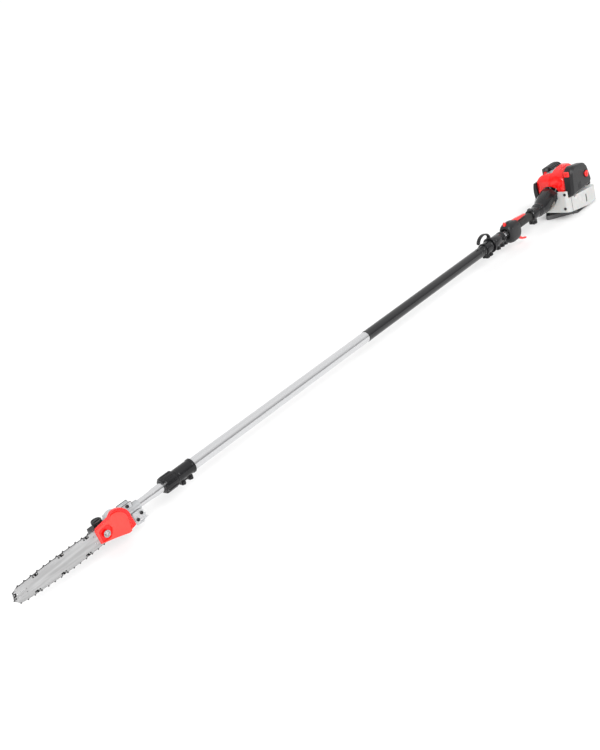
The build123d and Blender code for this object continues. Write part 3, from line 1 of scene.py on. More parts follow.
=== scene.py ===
"""Looks of a petrol telescoping pole saw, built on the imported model's frame.

Shapes are worked out in millimetres in the frame of the CAD model: X along the pole from the
saw to the engine, Z up, pole axis at z = AXIS. Pieces become metres when they are finished.
"""

from math import acos, atan2, cos, exp, hypot, pi, radians, sin

import bmesh
import bpy
from mathutils import Matrix, Vector


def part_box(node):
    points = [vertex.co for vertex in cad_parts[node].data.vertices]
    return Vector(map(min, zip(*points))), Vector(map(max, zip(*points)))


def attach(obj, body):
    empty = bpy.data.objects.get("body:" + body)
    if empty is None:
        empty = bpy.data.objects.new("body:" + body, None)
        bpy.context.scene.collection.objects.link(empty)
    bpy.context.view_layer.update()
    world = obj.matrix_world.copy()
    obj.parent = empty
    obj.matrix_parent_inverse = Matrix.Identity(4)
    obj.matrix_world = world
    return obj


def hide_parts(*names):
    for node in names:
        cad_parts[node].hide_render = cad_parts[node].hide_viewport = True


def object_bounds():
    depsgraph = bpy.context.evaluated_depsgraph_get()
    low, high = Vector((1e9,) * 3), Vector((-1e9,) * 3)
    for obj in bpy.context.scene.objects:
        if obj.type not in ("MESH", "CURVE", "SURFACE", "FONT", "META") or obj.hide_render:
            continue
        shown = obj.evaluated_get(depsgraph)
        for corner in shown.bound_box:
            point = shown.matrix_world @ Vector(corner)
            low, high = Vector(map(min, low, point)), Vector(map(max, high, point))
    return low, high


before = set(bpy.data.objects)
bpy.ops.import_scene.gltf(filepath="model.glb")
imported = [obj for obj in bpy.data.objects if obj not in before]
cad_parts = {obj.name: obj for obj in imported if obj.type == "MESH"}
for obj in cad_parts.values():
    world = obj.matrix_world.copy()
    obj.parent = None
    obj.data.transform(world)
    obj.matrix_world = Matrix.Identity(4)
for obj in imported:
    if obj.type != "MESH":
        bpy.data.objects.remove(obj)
cad_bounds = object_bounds()
MM = 0.001


def span(node):
    """Lowest and highest corner of a CAD node, in millimetres."""
    low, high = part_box(node)
    return low / MM, high / MM


def middle(node):
    low, high = span(node)
    return (low + high) / 2


AXIS = middle("outer_tube").z
POLE_BORE, STEM_BORE = 17.6, 13.1  # bores of what sits on the outer tube and on the engine's tube
FLARE_SHIFT = Vector((0, 4, 13))  # how far the bell's wide end lies off the pole axis


# ---------------------------------------------------------------- outlines
def arc(start, via, end, count=12):
    """Points of the circular arc through three points, both ends included."""
    ax, ay = start
    bx, by = via
    cx, cy = end
    d = 2 * (ax * (by - cy) + bx * (cy - ay) + cx * (ay - by))
    a2, b2, c2 = ax * ax + ay * ay, bx * bx + by * by, cx * cx + cy * cy
    ox = (a2 * (by - cy) + b2 * (cy - ay) + c2 * (ay - by)) / d
    oy = (a2 * (cx - bx) + b2 * (ax - cx) + c2 * (bx - ax)) / d
    radius = hypot(ax - ox, ay - oy)
    first = atan2(ay - oy, ax - ox)
    way = (atan2(by - oy, bx - ox) - first) % (2 * pi)
    sweep = (atan2(cy - oy, cx - ox) - first) % (2 * pi)
    if way > sweep:
        sweep -= 2 * pi
    return [(ox + radius * cos(first + sweep * k / count), oy + radius * sin(first + sweep * k / count))
            for k in range(count + 1)]


def ring(centre, radius, count=48, turn=0.0):
    """Points round a circle."""
    return [(centre[0] + radius * cos(turn + 2 * pi * k / count),
            centre[1] + radius * sin(turn + 2 * pi * k / count)) for k in range(count)]


def rounded(corners, radius, steps=5):
    """A polygon with each corner replaced by an arc of about this radius."""
    points = []
    for k, corner in enumerate(corners):
        here = Vector(corner)
        before = (Vector(corners[k - 1]) - here)
        after = (Vector(corners[(k + 1) % len(corners)]) - here)
        turn = before.angle(after)
        reach = min(radius / max(0.2, abs(sin(turn / 2) / cos(turn / 2))), before.length * 0.48,
                after.length * 0.48)
        first, last = here + before.normalized() * reach, here + after.normalized() * reach
        for step in range(steps + 1):
            t = step / steps
            points.append(tuple(first * (1 - t) ** 2 + here * 2 * t * (1 - t) + last * t * t))
    return points


def box_outline(centre, width, height, radius, steps=5):
    """A rounded rectangle."""
    (u, v), a, b = centre, width / 2, height / 2
    return rounded([(u - a, v - b), (u + a, v - b), (u + a, v + b), (u - a, v + b)], radius, steps)


def inset(points, distance):
    """An outline moved inwards."""
    count = len(points)
    area = sum(points[k - 1][0] * points[k][1] - points[k][0] * points[k - 1][1] for k in range(count))
    side = 1 if area > 0 else -1
    moved = []
    for k, (u, v) in enumerate(points):
        a, b = Vector(points[k - 1]), Vector(points[(k + 1) % count])
        here = Vector((u, v))
        edges = [e.normalized() for e in (here - a, b - here) if e.length > 1e-6]
        normals = [Vector((-e.y, e.x)) * side for e in edges]
        normal = sum(normals, Vector((0, 0))).normalized()
        share = max(0.5, normal.dot(normals[0]))
        moved.append(tuple(here + normal * distance / share))
    return moved


# ---------------------------------------------------------------- meshes
def lift(points, plane, level):
    """Flat points placed in the frame: plane XY, XZ or YZ at that level of the third axis."""
    if plane == "XY":
        return [Vector((u, v, level)) for u, v in points]
    if plane == "XZ":
        return [Vector((u, level, v)) for u, v in points]
    return [Vector((level, u, v)) for u, v in points]


def skin(bm, sections, joined=False):
    """Faces between rings of equal length, closed at both ends or joined into a loop."""
    rings = [[bm.verts.new(point) for point in section] for section in sections]
    pairs = list(zip(rings, rings[1:]))
    if joined:
        pairs.append((rings[-1], rings[0]))
    for low, high in pairs:
        for k in range(len(low)):
            bm.faces.new((low[k - 1], low[k], high[k], high[k - 1]))
    if not joined:
        bm.faces.new(rings[0])
        bm.faces.new(rings[-1])


def prism(bm, outline, plane, first, last, edge=0.0):
    """A flat outline extruded, with its two rims chamfered by edge."""
    sign = 1 if last > first else -1
    levels = [(first, 0.0), (last, 0.0)]
    if edge:
        levels = [(first, edge), (first + sign * edge, 0.0), (last - sign * edge, 0.0), (last, edge)]
    skin(bm, [lift(inset(outline, cut) if cut else outline, plane, level) for level, cut in levels])


def turned(bm, profile, centre, axis="X", count=64, ripple=None, joined=False):
    """A surface of revolution from (place along the axis, radius) pairs.

    ripple(angle, place, radius) may return another radius.
    """
    plane = {"X": "YZ", "Y": "XZ", "Z": "XY"}[axis]
    along = "XYZ".index(axis)
    u, v = [centre[k] for k in range(3) if k != along]
    sections = []
    for place, radius in profile:
        points = []
        for k in range(count):
            angle = 2 * pi * k / count
            reach = ripple(angle, place, radius) if ripple else radius
            points.append((reach * cos(angle) + u, reach * sin(angle) + v))
        sections.append(lift(points, plane, centre[along] + place))
    skin(bm, sections, joined=joined)


def knurled(teeth, depth, rim):
    """A ripple that cuts rounded teeth into whatever lies outside the rim."""
    def ripple(angle, place, reach):
        return reach - depth * (0.5 + 0.5 * cos(teeth * angle)) if reach > rim else reach

    return ripple


def sweep(bm, path, section, flat=Vector((0, 1, 0))):
    """A closed section (across, along flat) carried along a path that lies square to flat."""
    sections = []
    for k, point in enumerate(path):
        ahead = (path[min(k + 1, len(path) - 1)] - path[max(k - 1, 0)]).normalized()
        across = flat.cross(ahead).normalized()
        sections.append([point + across * a + flat * b for a, b in section])
    skin(bm, sections)


def ball(bm, centre, radius, stretch=(1, 1, 1)):
    """A sphere or ellipsoid."""
    made = bmesh.ops.create_uvsphere(bm, u_segments=32, v_segments=18, radius=radius)
    for vert in made["verts"]:
        vert.co = Vector(centre) + Vector([vert.co[k] * stretch[k] for k in range(3)])


def bolt_head(bm, centre, axis, sign, radius, height):
    """A round socket-head screw on a face, pointing to sign along the axis."""
    turned(bm, [(0.0, radius), (sign * height * 0.8, radius), (sign * height, radius * 0.86),
            (sign * height, radius * 0.52), (sign * height * 0.45, radius * 0.46)], centre, axis,
            count=32)


def mesh_object(name, bm):
    """A linked object from a mesh in millimetres."""
    bmesh.ops.recalc_face_normals(bm, faces=bm.faces)
    bmesh.ops.scale(bm, vec=(MM, MM, MM), verts=bm.verts)
    data = bpy.data.meshes.new(name)
    bm.to_mesh(data)
    bm.free()
    made = bpy.data.objects.new(name, data)
    bpy.context.scene.collection.objects.link(made)
    return made


def islands(bm):
    """The loose closed shells of a mesh, each as a mesh of its own."""
    bm.verts.ensure_lookup_table()
    seen, found = set(), []
    for start in bm.verts:
        if start.index in seen:
            continue
        group, queue = {start.index}, [start]
        while queue:
            for edge in queue.pop().link_edges:
                for vert in edge.verts:
                    if vert.index not in group:
                        group.add(vert.index)
                        queue.append(vert)
        seen |= group
        shell = bm.copy()
        shell.verts.ensure_lookup_table()
        bmesh.ops.delete(shell, geom=[vert for vert in shell.verts if vert.index not in group],
                context="VERTS")
        found.append(shell)
    return found


def reach_of(verts):
    """Lowest and highest corner of some vertices."""
    return [[pick(vert.co[axis] for vert in verts) for axis in range(3)] for pick in (min, max)]


def carve(target, cutters):
    """Takes each cutter mesh away from the target for good, one loose shell of it at a time."""
    whole = bmesh.new()
    whole.from_mesh(target.data)
    whole.verts.index_update()
    tools = []
    for cutter in cutters:
        tool = mesh_object("cutter", cutter)
        tools.append((tool, reach_of(tool.data.vertices)))
    result = bmesh.new()
    for shell in islands(whole):
        low, high = reach_of(shell.verts)
        part = bpy.data.objects.new("part", bpy.data.meshes.new("part"))
        shell.to_mesh(part.data)
        bpy.context.scene.collection.objects.link(part)
        for number, (tool, (first, last)) in enumerate(tools):
            if all(low[axis] < last[axis] and first[axis] < high[axis] for axis in range(3)):
                step = part.modifiers.new(f"cut_{number}", "BOOLEAN")
                step.operation = "DIFFERENCE"
                step.solver = "EXACT"
                step.object = tool
        bpy.context.view_layer.update()
        depsgraph = bpy.context.evaluated_depsgraph_get()
        result.from_mesh(bpy.data.meshes.new_from_object(part.evaluated_get(depsgraph)))
        bpy.data.objects.remove(part, do_unlink=True)
    result.to_mesh(target.data)
    for tool, _ in tools:
        bpy.data.objects.remove(tool, do_unlink=True)


def bevel(target, width, angle):
    """Rounds the edges sharper than an angle."""
    step = target.modifiers.new("edges", "BEVEL")
    step.width = width * MM
    step.segments = 2
    step.limit_method = "ANGLE"
    step.angle_limit = radians(angle)
    step.harden_normals = True


def soften(target, width, angle):
    """Rounded edges and smooth shading."""
    if width:
        bevel(target, width, angle)
    target.data.shade_smooth()
    target.data.set_sharp_from_angle(angle=radians(angle + 6))


def fresh(build, *details, **options):
    """A new mesh with one shape in it."""
    bm = bmesh.new()
    build(bm, *details, **options)
    return bm


def piece(name, bm, material, node=None, body="powerhead", edge=0.5, angle=32.0, cutters=()):
    """Finishes a mesh: cuts, rounded edges, material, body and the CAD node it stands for."""
    made = mesh_object(name, bm)
    carve(made, cutters)
    soften(made, edge, angle)
    made.data.materials.clear()
    made.data.materials.append(material)
    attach(made, body)
    if node:
        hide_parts(node)


# ---------------------------------------------------------------- materials
RANGE_SOCKETS = ("From Min", "From Max", "To Min", "To Max")


def surface(name, colour, rough, tint, patches, grain, grain_depth, metal=0.0, patch_share=0.5,
            stretch=(1, 1, 1), rough_swing=0.1, worn=None, wear=0.0, coat=0.0, scratch=0.0,
            see_through=0.0, gloss=0.5):
    """A procedural finish in the object's own coordinates.

    colour drifts to tint in patches, grain makes the fine relief and uneven gloss, edges rub
    through to worn, scratch draws thin pale lines. patches and grain are cycles per metre.
    """
    made = bpy.data.materials.new(name)
    made.use_nodes = True
    nodes, links = made.node_tree.nodes, made.node_tree.links
    shader = nodes["Principled BSDF"]
    shader.inputs["Metallic"].default_value = metal
    shader.inputs["Coat Weight"].default_value = coat
    shader.inputs["Specular IOR Level"].default_value = gloss
    shader.inputs["Coat Roughness"].default_value = 0.12
    if see_through:
        shader.inputs["Subsurface Weight"].default_value = see_through
        shader.inputs["Subsurface Scale"].default_value = 0.004
    place = nodes.new("ShaderNodeTexCoord")
    mapping = nodes.new("ShaderNodeMapping")
    mapping.inputs["Scale"].default_value = stretch
    links.new(place.outputs["Object"], mapping.inputs["Vector"])

    def noise(scale, detail=4.0):
        node = nodes.new("ShaderNodeTexNoise")
        node.inputs["Scale"].default_value = scale
        node.inputs["Detail"].default_value = detail
        links.new(mapping.outputs["Vector"], node.inputs["Vector"])
        return node.outputs["Fac"]

    def mapped(value, low, high, to_low, to_high):
        node = nodes.new("ShaderNodeMapRange")
        for socket, number in zip(RANGE_SOCKETS, (low, high, to_low, to_high)):
            node.inputs[socket].default_value = number
        links.new(value, node.inputs["Value"])
        return node.outputs["Result"]

    def blended(factor, first, second):
        node = nodes.new("ShaderNodeMix")
        node.data_type = "RGBA"
        links.new(factor, node.inputs["Factor"])
        for socket, value in ((6, first), (7, second)):
            if isinstance(value, tuple):
                node.inputs[socket].default_value = (*value, 1)
            else:
                links.new(value, node.inputs[socket])
        return node.outputs[2]

    patch = noise(patches)
    fine = noise(grain, 6.0)
    base = blended(mapped(patch, 0.38, 0.68, 0.0, patch_share), colour, tint)
    if worn:
        edge = nodes.new("ShaderNodeNewGeometry")
        rubbed = nodes.new("ShaderNodeMath")
        rubbed.operation = "MULTIPLY"
        links.new(mapped(edge.outputs["Pointiness"], 0.53, 0.62, 0.0, wear), rubbed.inputs[0])
        links.new(mapped(noise(patches * 6), 0.4, 0.6, 0.0, 1.0), rubbed.inputs[1])
        base = blended(rubbed.outputs["Value"], base, worn)
    if scratch:
        line = nodes.new("ShaderNodeTexVoronoi")
        line.feature = "DISTANCE_TO_EDGE"
        line.inputs["Scale"].default_value = patches * 0.9
        links.new(mapping.outputs["Vector"], line.inputs["Vector"])
        base = blended(mapped(line.outputs["Distance"], 0.0, 0.012, scratch, 0.0), base,
                tuple(min(1.0, c * 1.35 + 0.02) for c in colour))
    links.new(base, shader.inputs["Base Color"])
    links.new(mapped(fine, 0.3, 0.7, max(0.02, rough - rough_swing), rough + rough_swing),
            shader.inputs["Roughness"])
    bump = nodes.new("ShaderNodeBump")
    bump.inputs["Strength"].default_value = grain_depth
    bump.inputs["Distance"].default_value = 0.0004
    links.new(fine, bump.inputs["Height"])
    links.new(bump.outputs["Normal"], shader.inputs["Normal"])
    return made


ALONG_POLE = (0.03, 1, 1)
tube_silver = surface("tube_silver", (0.66, 0.66, 0.67), 0.22, (0.60, 0.61, 0.62), 60, 1400, 0.05,
        metal=0.95, stretch=ALONG_POLE, rough_swing=0.07, scratch=0.12)
cast_metal = surface("cast_metal", (0.46, 0.47, 0.48), 0.42, (0.36, 0.37, 0.38), 90, 1500, 0.35,
        metal=0.70, worn=(0.85, 0.85, 0.86), wear=0.5)
bar_grey = surface("bar_grey", (0.32, 0.32, 0.32), 0.62, (0.31, 0.31, 0.313), 22, 1800, 0.04, metal=0.0,
        stretch=(0.08, 1, 1), scratch=0.05, gloss=0.25, worn=(0.75, 0.75, 0.76), wear=0.6)
bright_steel = surface("bright_steel", (0.50, 0.50, 0.50), 0.26, (0.34, 0.34, 0.36), 160, 2200, 0.08,
        metal=1.0, worn=(0.9, 0.9, 0.9), wear=0.6)
dark_links = surface("dark_links", (0.030, 0.030, 0.032), 0.40, (0.07, 0.068, 0.066), 240, 2000, 0.15,
        metal=0.4, worn=(0.45, 0.45, 0.45), wear=0.25)
black_oxide = surface("black_oxide", (0.028, 0.028, 0.030), 0.38, (0.05, 0.05, 0.05), 300, 2200, 0.1,
        metal=0.6, worn=(0.35, 0.35, 0.35), wear=0.5)
gloss_red = surface("gloss_red", (0.82, 0.007, 0.006), 0.20, (0.74, 0.006, 0.005), 14, 700, 0.03,
        patch_share=0.35, rough_swing=0.05, coat=0.30, gloss=0.35, worn=(0.90, 0.10, 0.08), wear=0.2)
matte_red = surface("matte_red", (0.86, 0.045, 0.032), 0.40, (0.78, 0.030, 0.022), 26, 1600, 0.14,
        patch_share=0.35, coat=0.15, worn=(0.90, 0.30, 0.24), wear=0.35)
trim_red = surface("trim_red", (0.82, 0.010, 0.008), 0.28, (0.66, 0.012, 0.012), 60, 1600, 0.10,
        coat=0.3, worn=(0.88, 0.25, 0.2), wear=0.3)
body_black = surface("body_black", (0.008, 0.008, 0.009), 0.18, (0.013, 0.013, 0.014), 24, 1500, 0.12,
        rough_swing=0.06, gloss=0.35, worn=(0.07, 0.07, 0.07), wear=0.5)
grained_black = surface("grained_black", (0.013, 0.013, 0.014), 0.36, (0.018, 0.018, 0.019), 30, 1100,
        0.30, rough_swing=0.08, gloss=0.30, worn=(0.08, 0.08, 0.08), wear=0.5)
sleeve_black = surface("sleeve_black", (0.005, 0.005, 0.006), 0.17, (0.010, 0.010, 0.011), 40, 1300,
        0.10, stretch=(0.25, 1, 1), rough_swing=0.07, coat=0.15)
rubber = surface("rubber", (0.010, 0.010, 0.010), 0.48, (0.016, 0.016, 0.015), 45, 1000, 0.6,
        rough_swing=0.12)
tank_white = surface("tank_white", (0.50, 0.50, 0.49), 0.36, (0.46, 0.46, 0.45), 12, 1200, 0.12,
        patch_share=0.6, see_through=0.12, worn=(0.82, 0.82, 0.81), wear=0.3)
filter_foam = surface("filter_foam", (0.16, 0.15, 0.13), 0.85, (0.10, 0.09, 0.08), 300, 1600, 0.9)
stand_grey = surface("stand_grey", (0.062, 0.062, 0.064), 0.46, (0.080, 0.080, 0.082), 26, 1200, 0.4,
        worn=(0.20, 0.20, 0.20), wear=0.5)
bronze = surface("bronze", (0.42, 0.25, 0.11), 0.40, (0.34, 0.20, 0.10), 160, 1800, 0.15, metal=0.9,
        worn=(0.6, 0.42, 0.22), wear=0.6)
heat_steel = surface("heat_steel", (0.36, 0.33, 0.30), 0.48, (0.24, 0.20, 0.17), 50, 1500, 0.2,
        metal=0.85, worn=(0.6, 0.58, 0.55), wear=0.5)
primer_clear = surface("primer_clear", (0.42, 0.40, 0.36), 0.16, (0.36, 0.33, 0.28), 120, 900, 0.05,
        see_through=0.3)


# ---------------------------------------------------------------- saw head
BAR = middle("guide_bar")
BAR_LOW, BAR_HIGH = span("guide_bar")
STUD = middle("bar_nut")
SPROCKET = middle("drive_sprocket")
NOSE = middle("nose_sprocket")
NOSE_HALF, NOSE_LENGTH, BAR_END_H = 20.5, 16.0, 20.0
WIDEST_X = BAR_LOW.x + 177.0
CHAIN_SEAT = 14.6  # radius at which the chain lies on the drive sprocket


def bar_edge(gap=0.0, steps=30):
    """Edge of the guide bar from its rear top round the nose, moved out by gap."""
    half = (BAR_HIGH.z - BAR_LOW.z) / 2 + gap
    shoulder, nose = BAR_LOW.x + NOSE_LENGTH, NOSE_HALF + gap
    top = arc((BAR_HIGH.x, BAR.z + BAR_END_H + gap), (WIDEST_X, BAR.z + half),
            (shoulder, NOSE.z + nose), steps)
    tip = arc((shoulder, NOSE.z + nose), (BAR_LOW.x - gap, NOSE.z), (shoulder, NOSE.z - nose), steps)
    foot = arc((shoulder, NOSE.z - nose), (WIDEST_X, BAR.z - half),
            (BAR_HIGH.x, BAR.z - BAR_END_H - gap), steps)
    return top + tip[1:] + foot[1:]


def chain_path(gap):
    """Closed line of the chain: bar edge, straight run, drive sprocket, straight run."""
    edge = bar_edge(gap)
    radius = CHAIN_SEAT + gap

    def touch(point, side):
        dx, dz = point[0] - SPROCKET.x, point[1] - SPROCKET.z
        turn = atan2(dz, dx) - side * acos(radius / hypot(dx, dz))
        return SPROCKET.x + radius * cos(turn), SPROCKET.z + radius * sin(turn)

    lower, upper = touch(edge[-1], -1), touch(edge[0], 1)
    return edge + arc(lower, (SPROCKET.x + radius, SPROCKET.z), upper, 24)


def guide_bar():
    """Steel bar of three plates with the chain groove between them, nose rivets and oil holes."""
    left, right = BAR_LOW.y, BAR_HIGH.y
    edge = bar_edge()
    deep = inset(edge, 4.5)
    bm = fresh(skin, [lift(inset(edge, 0.4), "XZ", left), lift(edge, "XZ", left + 0.3),
            lift(edge, "XZ", left + 1.3), lift(deep, "XZ", left + 1.3), lift(deep, "XZ", right - 1.3),
            lift(edge, "XZ", right - 1.3), lift(edge, "XZ", right - 0.3),
            lift(inset(edge, 0.4), "XZ", right)])
    cutters = []
    for x, z, radius in ((NOSE.x + 16, NOSE.z + 4.5, 1.5), (NOSE.x + 16, NOSE.z - 4.5, 1.5),
                         (BAR_HIGH.x - 62, BAR.z - 9.0, 2.4), (BAR_HIGH.x - 62, BAR.z + 11.0, 1.6)):
        cutters.append(fresh(prism, ring((x, z), radius, 20), "XZ", left - 1, right + 1))
    wheel_low, wheel_high = span("nose_sprocket")
    wheel_radius = (wheel_high.z - wheel_low.z) / 2 + 0.7
    cutters.append(fresh(turned,
            [(wheel_low.y - 0.2, wheel_radius), (wheel_high.y + 0.2, wheel_radius)],
            (NOSE.x, 0, NOSE.z), "Y", 64))
    piece("guide_bar_plates", bm, bar_grey, "guide_bar", body="saw_head", edge=0, cutters=cutters)

    bm = bmesh.new()
    for k in range(6):
        angle = radians(60 * k + 30)
        spot = Vector((NOSE.x + 7.0 * cos(angle), 0, NOSE.z + 7.0 * sin(angle)))
        for level, sign in ((left, -1), (right, 1)):
            turned(bm, [(0, 1.5), (sign * 0.25, 1.3), (sign * 0.3, 0.6)], (spot.x, level, spot.z), "Y",
                    16)
    piece("nose_rivets", bm, bright_steel, body="saw_head", edge=0)


def chain():
    """Saw chain laid along its path: drive links, tie straps, cutters with rakers, rivets."""
    path = [Vector((u, 0, v)) for u, v in chain_path(0.25)]
    path.append(path[0])
    reach = [0.0]
    for a, b in zip(path, path[1:]):
        reach.append(reach[-1] + (b - a).length)
    usual_pitch = 9.6
    count = 4 * round(reach[-1] / usual_pitch / 4)
    pitch = reach[-1] / count

    def at(distance):
        distance %= reach[-1]
        k = max(j for j in range(len(reach) - 1) if reach[j] <= distance)
        share = (distance - reach[k]) / max(1e-9, reach[k + 1] - reach[k])
        return path[k].lerp(path[k + 1], share)

    def seat(first, second):
        """Origin and directions of a link between two rivets: along the chain and outwards."""
        a, b = at(first), at(second)
        along = (b - a).normalized()
        return (a + b) / 2, along, along.cross(Vector((0, 1, 0)))

    def plate(bm, place, outline, near, far, edge=0.2):
        origin, along, out = place
        levels = ((near, edge), (near + edge, 0), (far - edge, 0), (far, edge))
        skin(bm, [[origin + along * u + out * v + Vector((0, BAR.y + level, 0))
                for u, v in inset(outline, cut)] for level, cut in levels])

    half = pitch / 2
    strap = rounded([(-half - 3.2, 0.2), (half + 3.2, 0.2), (half + 3.2, 5.2), (1.2, 4.4), (-1.2, 4.4),
            (-half - 3.2, 5.2)], 2.2, 3)
    cutter = rounded([(half + 3.2, 0.2), (half + 3.0, 6.4), (half - 0.4, 7.2), (half - 1.6, 3.9),
            (1.2, 3.4), (0.4, 7.9), (-half - 3.4, 7.2), (-half - 3.0, 0.2)], 0.9, 3)
    drive = rounded([(-half - 2.6, 0.6), (-2.6, -1.0), (-1.6, -3.8), (0.8, -3.8), (2.8, -1.0),
            (half + 2.6, 0.6), (half + 2.6, 4.6), (0, 5.4), (-half - 2.6, 4.6)], 1.2, 3)
    roof = rounded([(0.6, 6.9), (0.4, 8.0), (-half - 3.2, 7.3), (-half - 3.0, 6.2)], 0.3, 2)
    ties, cutters, drives, rivets = (bmesh.new() for _ in range(4))
    for k in range(count):
        place = seat(k * pitch, (k + 1) * pitch)
        if k % 2:
            plate(drives, place, drive, -0.65, 0.65)
        else:
            side = 1 if (k // 4) % 2 else -1
            plate(ties, place, strap, -side * 0.8, -side * 1.9, 0.2 * -side)
            if k % 4 == 0:
                plate(cutters, place, cutter, side * 0.8, side * 2.0, 0.15 * side)
                plate(cutters, place, roof, side * 2.2, -side * 1.3, 0.15 * -side)
            else:
                plate(ties, place, strap, side * 0.8, side * 1.9, 0.2 * side)
        origin, along, out = seat(k * pitch - 0.5, k * pitch + 0.5)
        spot = origin + out * 2.6
        for sign in (-1, 1):
            turned(rivets, [(sign * 1.6, 1.9), (sign * 2.15, 1.7), (sign * 2.4, 0.9)],
                    (spot.x, BAR.y, spot.z), "Y", 14)
    piece("chain_drive_links", drives, dark_links, "saw_chain", body="saw_head", edge=0)
    piece("chain_tie_straps", ties, dark_links, body="saw_head", edge=0)
    piece("chain_cutters", cutters, dark_links, body="saw_head", edge=0)
    piece("chain_rivets", rivets, bright_steel, body="saw_head", edge=0)


def sprocket_cover():
    """Moulded cover: glossy shell with a bevelled crown, matt face with a nut pocket and a row of ribs."""
    low, high = span("sprocket_cover")
    x, z = SPROCKET.x, SPROCKET.z
    front, rear = low.x, x + 30
    face, back = low.y, high.y

    def shape(points):
        return [(x + u, z + v) for u, v in points]

    edge = [(front + 4 - x, -16), (front - x, 25), (-30, 33), (-18, 42)]
    crown = arc((-18, 42), (17, 31), (30, -2), 22)
    tail = [(rear + 5 - x, -31)]
    belly = arc((5, -38), (-28, -27.5), (front + 4 - x, -16), 16)
    outline = shape(edge[:-1] + crown + tail + belly[:-1])
    bm = fresh(skin, [lift(outline, "XZ", back), lift(outline, "XZ", face + 5.5),
            lift(inset(outline, 0.8), "XZ", face + 4.6)])
    piece("sprocket_cover_shell", bm, gloss_red, "sprocket_cover", body="saw_head", edge=0.7, angle=28)
    bm = bmesh.new()
    top = arc((-21, 36), (8, 26), (18, 6), 14)
    plate = shape([(front + 5 - x, -15), (front + 1 - x, 24), (-29, 31.5)] + top + [(15, -36.5)]
            + arc((5, -37), (-28, -26.5), (front + 5 - x, -15), 14)[:-1])
    skin(bm, [lift(plate, "XZ", face + 5.2), lift(inset(plate, 0.2), "XZ", face + 1.2),
            lift(inset(plate, 0.9), "XZ", face)])
    for k in range(9):
        prism(bm, box_outline((x + 18.5, z - 31 + 4.0 * k), 4.6, 1.7, 0.5, 2), "XZ", face + 5.2,
                face + 1.4, 0.3)
    pocket = bmesh.new()
    hollow = rounded([(STUD.x - 19, z - 15), (STUD.x - 20, z + 21), (STUD.x + 12, z + 25),
            (STUD.x + 21, z + 6), (STUD.x + 10, z - 15)], 9, 6)
    skin(pocket, [lift(inset(hollow, 1.4), "XZ", face + 5.6), lift(hollow, "XZ", face - 1)])
    piece("sprocket_cover_face", bm, matte_red, body="saw_head", edge=0.7, angle=28, cutters=[pocket])


def head_fittings():
    """Flanged bar nut on its threaded stud, and the knurled oil cap."""
    low, high = span("bar_nut")
    bm = bmesh.new()
    centre = (STUD.x, high.y, STUD.z)
    turned(bm, [(0, 9.2), (-0.5, 10.0), (-1.8, 10.0), (-2.3, 9.0), (-2.3, 7.0)], centre, "Y", 48)
    hexagon = ring((STUD.x, STUD.z), 7.5, 6, radians(20))
    skin(bm, [lift(hexagon, "XZ", high.y - 2.0), lift(hexagon, "XZ", low.y + 1.2),
            lift(inset(hexagon, 1.1), "XZ", low.y)])
    hole = fresh(turned, [(-5.0, 4.2), (3.0, 4.2)], (STUD.x, low.y, STUD.z), "Y", 32)
    piece("bar_nut_flanged", bm, bright_steel, "bar_nut", body="saw_head", edge=0.35, cutters=[hole])
    bm = bmesh.new()
    profile = [(0.0, 3.9)]
    for k in range(7):
        profile += [(-1.0 - k, 3.9), (-1.5 - k, 3.5)]
    profile.append((-9.0, 2.8))
    turned(bm, profile, (STUD.x, low.y + 7.0, STUD.z), "Y", 32)
    piece("bar_stud", bm, bright_steel, body="saw_head", edge=0)

    low, high = span("oil_cap")
    centre = middle("oil_cap")
    radius = (high.x - low.x) / 2
    rise = high.z - low.z - 7.5
    bm = fresh(turned, [(0, radius - 1.0), (0.8, radius), (rise - 1.2, radius),
            (rise - 0.3, radius - 1.2), (rise - 0.3, radius - 3.6), (rise - 1.8, radius - 4.4),
            (rise - 1.8, 0.6)], (centre.x, centre.y, high.z - rise), "Z", 168, knurled(28, 0.9,
            radius * 0.93))
    prism(bm, box_outline((centre.x, centre.y), radius * 1.35, 4.4, 2.0, 4), "XY", high.z - 2.2, high.z,
            0.5)
    turned(bm, [(0, 7.6), (8.0, 7.6)], (centre.x, centre.y, low.z), "Z", 40)
    piece("oil_cap_knurled", bm, body_black, "oil_cap", body="oil_cap", edge=0.25)


def gear_head():
    """Screws of the gear head and the two frames that clamp it to the pole."""
    bm = bmesh.new()
    for x, z in ((SPROCKET.x + 46, -25.0), (SPROCKET.x + 62, -14.0)):
        bolt_head(bm, (x, span("hook_plate")[0].y, AXIS + z), "Y", -1, 4.6, 4.0)
    bolt_head(bm, (SPROCKET.x + 36, -10.0, AXIS + 20.3), "Y", -1, 4.6, 4.0)
    for k in range(4):
        angle = radians(45 + 90 * k)
        bolt_head(bm,
                (SPROCKET.x + 19.6 * cos(angle), span("housing_cover")[1].y, AXIS + 19.6 * sin(angle)),
                "Y", 1, 2.8, 3.0)
    piece("head_screws", bm, black_oxide, "head_bolts", body="saw_head", edge=0.2)
    bm = bmesh.new()
    for level, sign in ((-9.3, -1), (9.3, 1)):
        block = box_outline((SPROCKET.x + 34, AXIS + 20), 36, 15, 4)
        hollow = box_outline((SPROCKET.x + 34, AXIS + 20), 22, 8, 3)
        skin(bm, [lift(p, "XZ", y) for p, y in ((block, level - sign * 1.2),
                (block, level + sign * 0.6), (hollow, level + sign * 0.6),
                (hollow, level - sign * 1.2))], joined=True)
    piece("clamp_frames", bm, black_oxide, body="saw_head", edge=0.3)


def dress(node, material, edge):
    """A CAD node that stays: its finish and softened edges."""
    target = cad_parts[node]
    if not target.material_slots:
        target.data.materials.append(material)
    for place in target.material_slots:
        place.material = material
    if edge:
        bevel(target, edge, 35.0)


